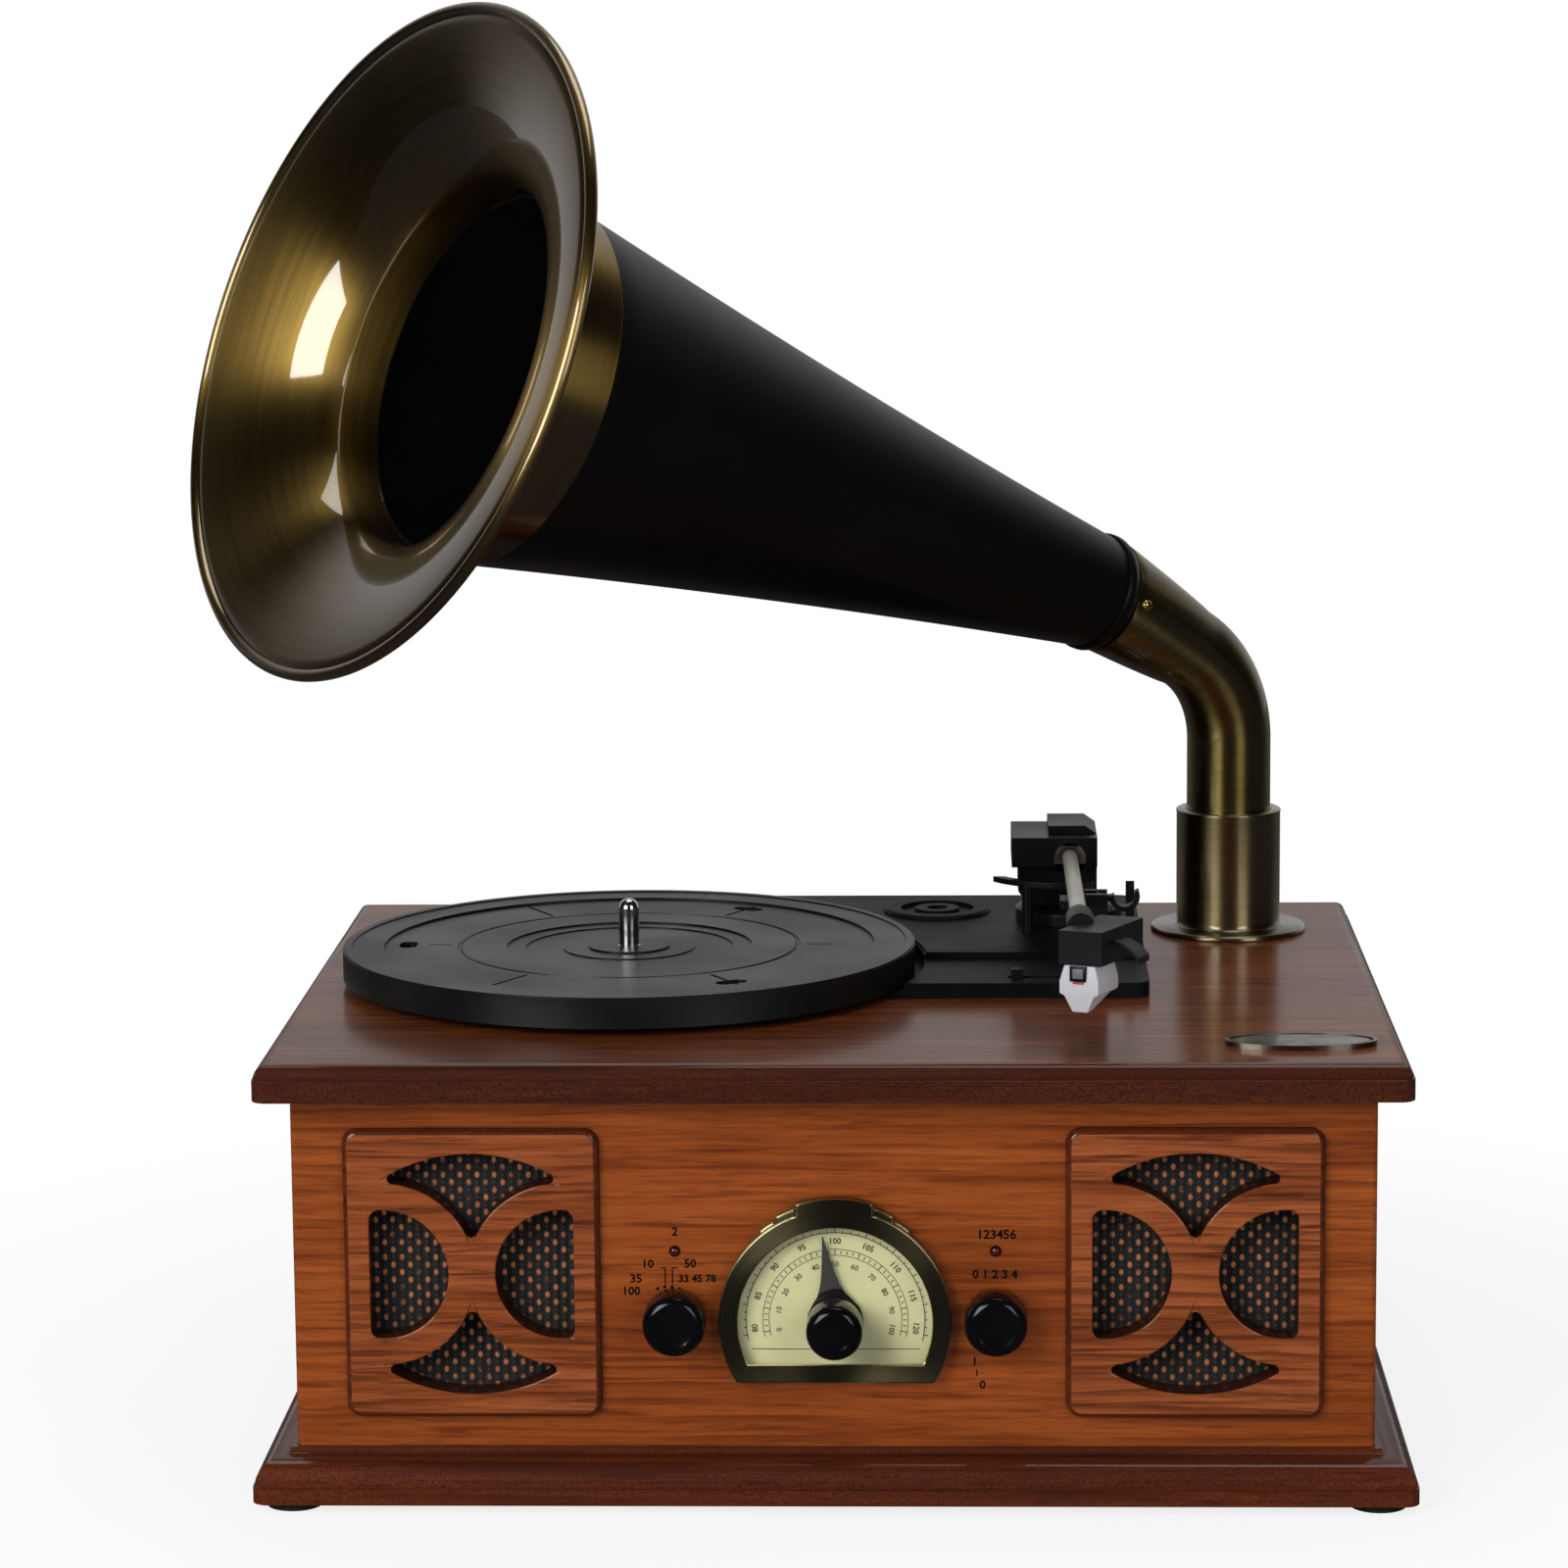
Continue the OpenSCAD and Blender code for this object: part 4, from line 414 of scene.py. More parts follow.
screw_steel = moulded("screw_steel", "b4b8bc", "8c9094", 0.25, 0.4, 1200, Metallic=1.0)
spindle_steel = moulded("spindle_steel", "e2e4e6", "c8cacc", 0.08, 0.16, 900, FINE, Metallic=1.0)
sheet_steel = moulded("sheet_steel", "8a8c8e", "707274", 0.35, 0.55, 900, Metallic=1.0)
magnet_grey = moulded("magnet_grey", "3c3f42", "505356", 0.4, 0.6, 800, Metallic=0.6)
turned_brass = moulded("turned_brass", "c8b060", "a48c44", 0.2, 0.35, 1000, Metallic=1.0)
arm_grey = moulded("arm_grey", "a8a29b", "989289", 0.3, 0.42, 1500, Coat_Weight=0.2)
cartridge_grey = moulded("cartridge_grey", "b6b4b9", "a9a7ac", 0.3, 0.42, 1500)
lamp_red = moulded("lamp_red", "3c100e", "2a0a08", 0.1, 0.2, 900, FINE, Coat_Weight=0.8)
board_green = moulded("board_green", "2f6b3a", "275a31", 0.35, 0.5, 900)
scale_cream = moulded("scale_cream", "c2be8e", "b8b482", 0.4, 0.55, 900)
ink = moulded("ink", "080604", "0e0a08", 0.5, 0.7, 2400, Specular_IOR_Level=0.1)
red_ink = moulded("red_ink", "a01c14", "8c1812", 0.4, 0.6, 2400)
print("plain materials from", deck_black.name, "to", red_ink.name)

# %% [markdown]
# Antique brass is plated, darkened, brushed back on the lathe and lacquered. So its colour drifts
# between dark olive and gold, and fine brush lines run round the axis. The group gets coordinates
# whose Z is the part's axis, and makes lines that depend on the radius and height only.

# %% Antique brass group
brass, b_in, b_out = new_group("antique_brass", Gold=rgb("8a7a48"), Patina=rgb("3c3622"), Brush=900.0,
                               Balance=0.5)
split = add(brass, "SeparateXYZ", [(0, b_in["Vector"])]).outputs
flat = add(brass, "CombineXYZ", [("X", split["X"]), ("Y", split["Y"])]).outputs[0]
turning = vectors(brass, "MULTIPLY", vectors(brass, "NORMALIZE", flat), (1.2, 1.2, 1.2))
along = maths(brass, "ADD", vectors(brass, "LENGTH", flat), split["Z"])


def ring_lines(per_metre):
    """Noise that changes fast with radius and height, and slowly round the axis"""
    line_at = add(brass, "CombineXYZ", [("Z", product(brass, along, per_metre))]).outputs[0]
    return noise(brass, vectors(brass, "ADD", turning, line_at), 1.0, 3.0, 0.65)


strokes = ring_lines(b_in["Brush"])
scratches = ring_lines(product(brass, b_in["Brush"], 6.0))
haze = noise(brass, b_in["Vector"], 14.0)
mixed = maths(brass, "ADD", product(brass, strokes, 0.4), product(brass, haze, 0.6))
lower = maths(brass, "SUBTRACT", 0.7, b_in["Balance"])
share = ranged(brass, mixed, lower, maths(brass, "ADD", lower, 0.6))
link(brass, b_out, Color=blend_colours(brass, share, b_in["Patina"], b_in["Gold"]),
     Roughness=ranged(brass, strokes, 0.0, 1.0, 0.3, 0.4), Height=scratches)


# %% [markdown]
# Brushed metal stretches its highlights across the brush lines. So the shader is told the
# direction round the axis as its tangent: the axis times the way from the axis to the point.

# %% Antique brass material
def antique(name, gold, patina, place, brush=500, balance=0.5, coat=0.6):
    material, tree, shader = new_material(name, Metallic=1.0, Coat_Weight=coat, Coat_Roughness=0.05,
                                          Coat_IOR=1.8, Anisotropic=0.9, Anisotropic_Rotation=0.25)
    where = add(tree, "TexCoord").outputs["Object"]
    axis = place.to_3x3() @ Vector((0, 0, 1))
    around = vectors(tree, "CROSS_PRODUCT", axis, vectors(tree, "SUBTRACT", where, place.to_translation()))
    in_world = add(tree, "VectorTransform", [("Vector", around)], vector_type="VECTOR",
                   convert_from="OBJECT", convert_to="WORLD")
    link(tree, shader.inputs, Tangent=in_world.outputs[0])
    mapping = add(tree, "Mapping", [("Vector", where), ("Location", place.to_translation()),
                  ("Rotation", place.to_euler())], vector_type="TEXTURE")
    patterned(tree, shader, brass, mapping.outputs[0], 0.8, 0.02 * MM, Gold=rgb(gold), Patina=rgb(patina),
              Brush=brush, Balance=balance)
    return material


# %% [markdown]
# The horn swivels about an upright axis, and its own axis leaves the elbow to the left, forward
# and up. Each axis is a matrix. It puts turned pieces in place, and its inverse, in the Mapping
# node, lets the brush lines follow the same axis. The dial has an axis too, and the name plate is
# brushed round its own middle.

# %% Axes and their brass
HORN = Vector((137.1, 87.5, 0))
Z_MEET, HORN_TURN, HORN_RISE = 250.7, 36.35, 19.66
DIAL_X, DIAL_Z = 0.7, 60.8
PLATE_X, PLATE_Y = 149.7, -111.5
horn_axis = (Matrix.Translation(HORN + Vector((0, 0, Z_MEET)))
             @ Matrix.Rotation(math.radians(180 + HORN_TURN), 4, "Z")
             @ Matrix.Rotation(math.radians(90 - HORN_RISE), 4, "Y"))
upright_axis = Matrix.Translation(HORN)
dial_axis = facing_front(DIAL_X, 0, DIAL_Z)


def in_metres(place):
    return Matrix.Translation(place.to_translation() * MM) @ place.to_3x3().to_4x4()


bell_brass = antique("bell_brass", "94793c", "54421f", in_metres(horn_axis), 400, coat=1.0)
elbow_brass = antique("elbow_brass", "8c7a44", "4e4222", in_metres(upright_axis))
bezel_brass = antique("bezel_brass", "7c7454", "4e4930", in_metres(dial_axis), 900, 0.45)
# brighter brass for the bezel's chamfers: a painted highlight
edge_highlight_brass = antique("edge_highlight_brass", "d8c890", "a8965c", in_metres(dial_axis), 900, 0.6)
collar_brass = antique("collar_brass", "9a8c64", "6c5f40", in_metres(upright_axis), balance=0.45)
# darker brass for the flange's flat top: painted shade
flange_painted_shade = antique("flange_painted_shade", "5e553a", "3a3424", in_metres(upright_axis), balance=0.45)
pewter = antique("pewter", "7a7462", "453f30", in_metres(Matrix.Translation((PLATE_X, PLATE_Y, 0))))
print("brass turns with the horn's axis, along", tuple(round(v, 3) for v in horn_axis.col[2][:3]))

# %% [markdown]
# The top board is a slab whose edge was run through a moulding cutter. Its flat top carries
# veneer with the grain along the cabinet, and the moulded edge is solid, stained darker. The copy
# gets the two materials by the direction of its faces.

# %% Top board and plinth
board = soften(cad_copy("top_board"), 0.5, 3, 40)
paint_faces(board, 1, lambda f: f.normal.z < 0.9)
make_piece(board, "top_board_veneered", "cabinet", "dark_wood", veneer_top, board_edge,
           stands_for=["top_board"], even=True)
make_piece(soften(cad_copy("plinth_moulding"), 0.4, 2, 40), "plinth_frame", "cabinet", "dark_wood",
           moulding_wood, stands_for=["plinth_moulding"], even=True)

# %% [markdown]
# The side panels of the body stay the CAD's own, with veneer on them. In the front panel the
# sawn walls behind the frets' openings get a near-black wood, painted shade of the deep openings,
# so its copy gets a second material there.

# %% Front panel
PANEL_INSIDE_X = 160


def faces_front_or_back(f):
    return abs(f.normal.y) > 0.9999


panel = cad_copy("front_panel")
# the walls of the openings get the near-black wood: painted shade
paint_faces(panel, 1, lambda f: abs(f.normal.y) < 0.5 and abs(f.calc_center_median().x) < PANEL_INSIDE_X)
crease(panel, faces_front_or_back)
make_piece(panel, "front_board", "cabinet", "veneer", veneer_front, bore_painted_shade, stands_for=["front_panel"],
           creased=True)

# %% [markdown]
# The frets are sawn from thin wood. Their front outline is rounded over, and the faces of that
# edge get the darker moulding wood. The walls of their openings get the near-black wood, painted
# shade of the deep openings. The saw also rounds the inner corners of the openings, so a small
# prism fills each corner where two long walls would meet.

# %% Corners of the frets' openings
FRET_FRONT, FRET_X, FRET_Z = -135.0, 115.333, 76.3
FRET_FACE_IN, FRET_DEEP = 0.06, 10.8
CORNER_R, SHARP_CORNER_R, CORNER_STEPS = 3.0, 1.6, 8
SHARP_HALF, CORNER_TURN, CORNER_NEAR = math.radians(36), math.radians(16), 3.2


def fret_corners(bm):
    """Where two long walls of an opening would meet, and the ways that they run from there"""
    steep = [e for e in bm.edges if abs((e.verts[0].co - e.verts[1].co).normalized().y) > 0.99
             and e.calc_face_angle(0) > CORNER_TURN and not e.is_convex]
    groups = []
    for edge in steep:
        at = edge.verts[0].co
        near = next((g for g in groups if (g[0].verts[0].co - at).xz.length < CORNER_NEAR), None)
        if near is None:
            groups.append([edge])
        else:
            near.append(edge)
    corners = []
    for group in groups:
        faces = [f for e in group for f in e.link_faces]
        walls = [f for f in faces if faces.count(f) == 1]
        if len(walls) != 2:
            continue
        points = [w.calc_center_median().xz for w in walls]
        runs = [Vector((-w.normal.z, w.normal.x)) for w in walls]
        reach = (points[1] - points[0]).cross(runs[1]) / runs[0].cross(runs[1])
        meet = points[0] + runs[0] * reach
        ways = [(p - meet).normalized() for p in points]
        corners.append((Vector((meet.x, 0, meet.y)), [Vector((w.x, 0, w.y)) for w in ways]))
    return corners


def fill_corner(bm, at, ways):
    """A prism that rounds one inner corner, from the fret's face to the cloth"""
    half = ways[0].angle(ways[1]) / 2
    r = CORNER_R if half > SHARP_HALF else SHARP_CORNER_R
    inward = (ways[0] + ways[1]).normalized()
    centre = at + inward * (r / math.sin(half))
    first, last = ((at + way * (r / math.tan(half)) - centre).normalized() for way in ways)
    arc = [centre + first.slerp(last, i / CORNER_STEPS) * r for i in range(CORNER_STEPS + 1)]
    front = Vector((0, FRET_FRONT + FRET_FACE_IN, 0))
    part = bmesh.new()
    part.faces.new([part.verts.new(p + front) for p in [at - inward * 0.3] + arc])
    thicken(part, (0, FRET_DEEP, 0))
    # the prism's walls get the near-black wood: painted shade of the opening
    paint_faces(part, 2, lambda f: abs(f.normal.y) < 0.3)
    join(bm, part)


# %% Frets
OPENINGS_END, OUTLINE_STARTS = (35.8, 42), (38.5, 44.8)


def fret(side, node, name):
    bm = cad_copy(node)
    corners = fret_corners(bm)
    middle = side * FRET_X

    def beyond(limits, point):
        return abs(point.x - middle) > limits[0] or abs(point.z - FRET_Z) > limits[1]

    def in_front(e):
        return all(v.co.y < FRET_FRONT + 0.01 for v in e.verts)

    def on_outline(f):
        return beyond(OUTLINE_STARTS, f.calc_center_median())

    soften(bm, 2.2, 6, 40, lambda e: in_front(e) and all(beyond(OPENINGS_END, v.co) for v in e.verts))
    soften(bm, 0.5, 2, 40, in_front)
    paint_faces(bm, 1, lambda f: f.normal.y > -0.93 and on_outline(f))
    # the walls of the openings get the near-black wood: painted shade
    paint_faces(bm, 2, lambda f: abs(f.normal.y) < 0.3 and not on_outline(f))
    for at, ways in corners:
        fill_corner(bm, at, ways)
    print(name, "has", len(corners), "rounded corners")
    crease(bm, faces_front_or_back)
    make_piece(bm, name, "cabinet", "veneer", fret_wood, moulding_wood, bore_painted_shade, stands_for=[node],
               creased=True)


fret(-1, "left_speaker_fret", "left_fret_board")
fret(1, "right_speaker_fret", "right_fret_board")

# %% [markdown]
# Deep behind each fret, in a pocket in the panel's rear, is a cloth that the speaker's frame
# clamps flat all round. It is a thin sheet in the CAD's place. Its weave is made by its material:
# black upright strands in pairs, with copper threads that show between them in staggered rows.

# %% Grille cloth material
STRAND, ROW = 0.00275, 0.00495


def weave_material():
    material, tree, shader = new_material("grille_weave", Sheen_Weight=0.15, Roughness=0.75)
    where = add(tree, "TexCoord").outputs["Object"]
    parts = add(tree, "SeparateXYZ", [(0, where)]).outputs

    def calc(operation, a, b=0.0):
        return maths(tree, operation, a, b)

    column = calc("MULTIPLY", parts["X"], 1 / STRAND)
    in_cell = calc("SUBTRACT", calc("FRACT", column), 0.5)
    odd = calc("MULTIPLY", calc("MODULO", calc("ABSOLUTE", calc("FLOOR", column)), 2.0), 0.5)
    row = calc("ADD", calc("MULTIPLY", parts["Z"], 1 / ROW), odd)

    def spots(shift, wide, tall):
        """Soft ovals, one in each cell of the pattern"""
        in_row = calc("SUBTRACT", calc("FRACT", calc("ADD", row, shift)), 0.5)
        x, z = (calc("POWER", calc("ABSOLUTE", calc("MULTIPLY", at, by)), 2.0)
                for at, by in ((in_cell, wide), (in_row, tall)))
        return ranged(tree, calc("SQRT", calc("ADD", x, z)), 0.78, 0.45)

    dot = calc("MULTIPLY", spots(0.0, 2.4, 3.1), window(tree, noise(tree, where, 260.0), 0.25, 0.6))
    glint = calc("MULTIPLY", spots(0.5, 4.4, 5.4), 0.18)
    strand = ranged(tree, calc("ABSOLUTE", in_cell), 0.0, 0.5, 1.0, 0.0)
    fuzz = noise(tree, where, 1900.0)
    black = blend_colours(tree, fuzz, rgb("040404"), rgb("0c0807"))
    copper = blend_colours(tree, fuzz, rgb("84441f"), rgb("c47a42"))
    glinting = blend_colours(tree, glint, black, rgb("50525e"))
    colour = blend_colours(tree, dot, glinting, copper)
    height = calc("ADD", strand, calc("MULTIPLY", fuzz, 0.3))
    bump = add(tree, "Bump", [("Height", height), ("Strength", 0.8), ("Distance", 0.5 * MM)])
    link(tree, shader.inputs, Base_Color=colour, Normal=bump.outputs[0])
    return material


# %% Grille cloths
CLOTH_IN, CLOTH_THICK = 0.02, 0.4
grille_weave = weave_material()
for label in ("left", "right"):
    low, high = (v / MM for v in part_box(label + "_grille_cloth"))
    middle = (low + high) / 2
    bm = bmesh.new()
    bmesh.ops.create_grid(bm, x_segments=40, y_segments=46, size=0.5)
    bmesh.ops.rotate(bm, verts=bm.verts, matrix=Matrix.Rotation(QUARTER, 3, "X"))
    bmesh.ops.scale(bm, vec=(high.x - low.x, 1, high.z - low.z), verts=bm.verts)
    bmesh.ops.translate(bm, vec=(middle.x, low.y + CLOTH_IN, middle.z), verts=bm.verts)
    bmesh.ops.solidify(bm, geom=bm.faces[:], thickness=-CLOTH_THICK)
    bmesh.ops.recalc_face_normals(bm, faces=bm.faces)
    cloth = make_piece(bm, label + "_cloth", "cabinet", "cloth", grille_weave,
                       stands_for=[label + "_grille_cloth"])

# %% [markdown]
# The dial's bezel is cast brass, darkened and lacquered: a round ring cut off flat at its foot,
# with a stepped plaque above that is left bare. Its chamfered edges get a brighter brass than the
# flats, a painted highlight where they catch the light.

# %% Dial bezel
bezel = soften(cad_copy("dial_bezel"), 1.0, 3, 30)
# chamfer faces that turn partly forward get the brighter brass: a painted highlight
paint_faces(bezel, 1, lambda f: 0.2 < -f.normal.y < 0.9)
make_piece(bezel, "dial_bezel_cast", "cabinet", "antique_brass", bezel_brass, edge_highlight_brass,
           stands_for=["dial_bezel"], even=True)

# %% [markdown]
# The lens is a thin clear moulding with a low dome, so that its edge catches white glints. It is
# turned like a bowl with a hole for the tuning shaft, and cut off flat at the foot. It lets light
# through in shadow rays, so that the dial behind it isn't dark.

# %% Dial lens
LENS_R, LENS_FOOT = 32.9, 15.4
dome = [(3.3, -137.0), (12, -136.85), (22, -136.45), (28, -136.05), (31, -135.75), (LENS_R, -135.5),
        (LENS_R, -134.45), (31, -134.75), (22, -135.35), (3.3, -135.8)]
lens = turned([(r, -y) for r, y in dome], 96, dial_axis)
cut = bmesh.ops.bisect_plane(lens, geom=lens.verts[:] + lens.edges[:] + lens.faces[:], dist=0.0001,
                             plane_co=(DIAL_X, 0, DIAL_Z - LENS_FOOT), plane_no=(0, 0, -1),
                             clear_outer=True)
bmesh.ops.edgeloop_fill(lens, edges=[e for e in cut["geom_cut"] if isinstance(e, bmesh.types.BMEdge)])
clear, clear_tree, clear_shader = new_material("lens_clear", Roughness=0.02, IOR=1.49,
                                               Transmission_Weight=1.0, Base_Color=(0.97, 0.98, 0.96, 1))
see_through = add(clear_tree, "BsdfTransparent").outputs[0]
shadow_ray = add(clear_tree, "LightPath").outputs["Is Shadow Ray"]
pick = add(clear_tree, "MixShader", [(0, shadow_ray), (1, clear_shader.outputs[0]), (2, see_through)])
link(clear_tree, clear_tree.nodes["Material Output"].inputs, Surface=pick.outputs[0])
make_piece(lens, "dial_lens_domed", "cabinet", "lens", clear, stands_for=["dial_lens"])

# %% [markdown]
# The scale is printed on a cream plate: three fine arcs, ticks, a base line and plain numbers.
# Every line is a thin real strip a twentieth of a millimetre proud of the plate, as thick ink is.
# Numbers start as text objects, become meshes, and only then are put in place.

# %% Ways to print
SCALE_Y, PANEL_Y, INK = -132.02, -132.0, 0.05


def ring_sector(bm, r, width, start, end):
    steps = max(2, int(abs(end - start) / 2))
    a = math.radians(start)
    made = bmesh.new()
    verts = [made.verts.new((math.cos(a) * at, 0, math.sin(a) * at))
             for at in (r - width / 2, r + width / 2)]
    edge = made.edges.new(verts)
    bmesh.ops.spin(made, geom=verts + [edge], cent=(0, 0, 0), axis=(0, -1, 0), dvec=(0, 0, 0),
                   angle=math.radians(end - start), steps=steps, use_merge=False, use_duplicate=False)
    bmesh.ops.recalc_face_normals(made, faces=made.faces)
    if sum(f.normal.y * f.calc_area() for f in made.faces) > 0:
        bmesh.ops.reverse_faces(made, faces=made.faces)
    bmesh.ops.solidify(made, geom=made.faces[:], thickness=-INK)
    bmesh.ops.translate(made, vec=(DIAL_X, SCALE_Y, DIAL_Z), verts=made.verts)
    join(bm, made)


def strip(bm, x0, z0, x1, z1, y):
    join(bm, box_part((x0, y - INK, z0), (x1, y, z1)))


def number(bm, text, size, place, bold):
    curve = bpy.data.curves.new("number", "FONT")
    curve.offset = bold
    curve.body = text
    curve.size = size
    curve.align_x = "CENTER"
    curve.align_y = "CENTER"
    curve.extrude = INK / 2
    curve.resolution_u = 2
    word = new_object("number", curve)
    bpy.context.view_layer.update()
    mesh = bpy.data.meshes.new_from_object(word.evaluated_get(bpy.context.evaluated_depsgraph_get()))
    bpy.data.objects.remove(word)
    mesh.transform(place)
    bm.from_mesh(mesh)
    bpy.data.meshes.remove(mesh)


def on_dial(r, angle):
    a = math.radians(angle)
    return (Matrix.Translation((DIAL_X + r * math.cos(a), SCALE_Y - INK / 2, DIAL_Z + r * math.sin(a)))
            @ Matrix.Rotation(QUARTER - a, 4, "Y") @ Matrix.Rotation(QUARTER, 4, "X"))


# %% Dial print
ARC_ENDS = (-14, 194)
dial_print = bmesh.new()
for r, width in ((21.2, 0.22), (23.2, 0.22), (28.6, 0.3)):
    ring_sector(dial_print, r, width, *ARC_ENDS)
for i in range(41):
    a = 190 - 5 * i
    long = i % 4 == 0
    ring_sector(dial_print, 22.2, 1.9 if long else 1.1, a - 0.4, a + 0.4)
    ring_sector(dial_print, 29.3 if long else 29.0, 1.4 if long else 0.8, a - 0.3, a + 0.3)
strip(dial_print, DIAL_X - 27, 51.1, DIAL_X + 27, 51.35, SCALE_Y)
for i in range(11):
    number(dial_print, str(i * 10), 2.5, on_dial(18.2, 190 - 20 * i), 0.04)
for i in range(9):
    number(dial_print, str(80 + i * 5), 2.7, on_dial(25.8, 186 - 24 * i), 0.07)
make_piece(dial_print, "dial_print", "cabinet", "dial_print", ink)

# %% [markdown]
# The pointer is stamped from thin sheet in the shape of a drop and painted black. Its outline is
# a round hub whose sides run out in a slim point. It leans as the picture shows it.

# %% Pointer
LEAN, HUB_R, POINTER_THICK = math.radians(8), 9.0, 0.8
sides = [(HUB_R, 0.0), (8.4, 3.3), (6.6, 6.1), (4.6, 8.6), (3.3, 11.5), (2.4, 15), (1.5, 19.5), (0.75, 24),
         (0.2, 28)]
other_side = [(-x, z) for x, z in reversed(sides)]
below = [(-HUB_R * math.cos(math.radians(a)), -HUB_R * math.sin(math.radians(a)))
         for a in range(15, 180, 15)]
leaning = Matrix.Translation((DIAL_X, -134.1, DIAL_Z)) @ Matrix.Rotation(-LEAN, 4, "Y")
drop = bmesh.new()
drop.faces.new([drop.verts.new((x, 0, z)) for x, z in sides + other_side + below])
thicken(drop, (0, POINTER_THICK, 0))
soften(drop, 0.22, 2, 50)
bmesh.ops.transform(drop, matrix=leaning, verts=drop.verts)
make_piece(drop, "pointer_drop", "tuner", "knob_black", ink, stands_for=["tuning_pointer"], sharp=20)

# %% [markdown]
# The knobs are turned: a straight side, a broad bevel that catches a highlight, and a shallow
# dish in the face. Each slides on its shaft from the front.

# %% Knobs
KNOB_OUT, KNOB_Z, KNOB_REAR, KNOB_WIDE = 51.2, 61.6, -133, 20
SHAFT_FRONT, SHAFT_REAR, SHAFT_R = -142, -112, 3
TUNING_REAR, TUNING_WIDE = -138, 18


def knob(x, z, rear_y, diameter, body, node):
    r = diameter / 2
    profile = [(3, 9), (3, 0), (r - 0.5, 0), (r - 0.2, 0.3), (r, 1.2), (r, 9.8), (r - 0.25, 10.9),
               (r - 0.9, 11.9), (r - 2.1, 12.7), (r - 3.0, 13.0), (r - 3.5, 12.9), (r - 4.2, 12.55),
               (r - 6, 12.4), (0, 12.4), (0, 9)]
    lathe(profile, facing_front(x, rear_y, z), node + "_turned", body, "knob_black", gloss_black,
          stands_for=[node], steps=96)


def shaft(x, body):
    place = Matrix.Translation((x, SHAFT_FRONT, KNOB_Z)) @ Matrix.Rotation(-QUARTER, 4, "X")
    long = SHAFT_REAR - SHAFT_FRONT
    profile = [(0, 0), (SHAFT_R - 0.4, 0), (SHAFT_R, 0.4), (SHAFT_R, long - 0.4), (SHAFT_R - 0.4, long),
               (0, long)]
    lathe(profile, place, body + "_shaft", body, "steel", screw_steel, steps=48, sharp=32)


for body, x in (("selector", DIAL_X - KNOB_OUT), ("volume", DIAL_X + KNOB_OUT)):
    knob(x, KNOB_Z, KNOB_REAR, KNOB_WIDE, body, body + "_knob")
    shaft(x, body)
knob(DIAL_X, DIAL_Z, TUNING_REAR, TUNING_WIDE, "tuner", "tuning_knob")

# %% [markdown]
# Each lamp is a red dome in a black collar, pushed through the panel from behind.

# %% Lamps
LAMP_Z = KNOB_Z + 21.7
LAMP_DOME = [(0, -13), (1.5, -13), (1.5, 0.2), (1.4, 0.7), (1.05, 1.15), (0.6, 1.4), (0, 1.5)]
LAMP_COLLAR = [(1.5, 0.02), (1.5, 0.4), (1.6, 0.55), (1.75, 0.4), (1.85, 0.02)]
for label, x in (("stereo_lamp", DIAL_X - KNOB_OUT), ("power_lamp", DIAL_X + KNOB_OUT)):
    place = facing_front(x, PANEL_Y, LAMP_Z)
    lathe(LAMP_DOME, place, label + "_dome", "cabinet", "lamp_red", lamp_red, stands_for=[label], steps=32,
          sharp=50)
    lathe(LAMP_COLLAR, place, label + "_collar", "cabinet", "knob_black", gloss_black, steps=32, sharp=50)

# %% [markdown]
# The labels beside the knobs are plain numbers, dots and lines, printed on the veneer.

# %% Printed labels
labels = bmesh.new()
for text, size, x, z in (
        ("2", 3.9, -50.4, 89.6), ("10", 3.9, -59.2, 79.0), ("50", 3.9, -45.6, 79.1),
        ("35", 3.9, -63.0, 74.2), ("33 45 78", 3.4, -43.4, 74.2), ("100", 3.9, -64.6, 70.1),
        ("123456", 4.2, 52.2, 88.6), ("0 1 2 3 4", 4.0, 51.7, 75.6), ("1", 3.9, 45.1, 47.0),
        ("0", 3.9, 47.6, 39.2)):
    number(labels, text, size, facing_front(x, PANEL_Y - 0.035, z), 0.1)
LINE_Y = PANEL_Y - 0.01
for x, hook in ((-53.6, -1.5), (-51.3, 1.5)):
    strip(labels, x - 0.2, 72.3, x + 0.2, 77.9, LINE_Y)
    strip(labels, min(x, x + hook), 77.6, max(x, x + hook), 77.95, LINE_Y)
for x, z in ((-56.1, 70.9), (-53.8, 71.5), (-51.5, 71.5), (-49.1, 70.9)):
    spot = bmesh.new()
    bmesh.ops.create_circle(spot, cap_ends=True, radius=0.55, segments=20)
    bmesh.ops.rotate(spot, verts=spot.verts, matrix=Matrix.Rotation(QUARTER, 3, "X"))
    bmesh.ops.solidify(spot, geom=spot.faces[:], thickness=INK)
    bmesh.ops.translate(spot, vec=(x, PANEL_Y - 0.06, z), verts=spot.verts)
    join(labels, spot)
strip(labels, 45.6, 42.2, 46.0, 44.4, LINE_Y)
make_piece(labels, "panel_labels", "cabinet", "dial_print", ink)

# %% [markdown]
# The oval plate on the top board is a small casting of dark pewter with a raised rim. Its field is
# left bare.

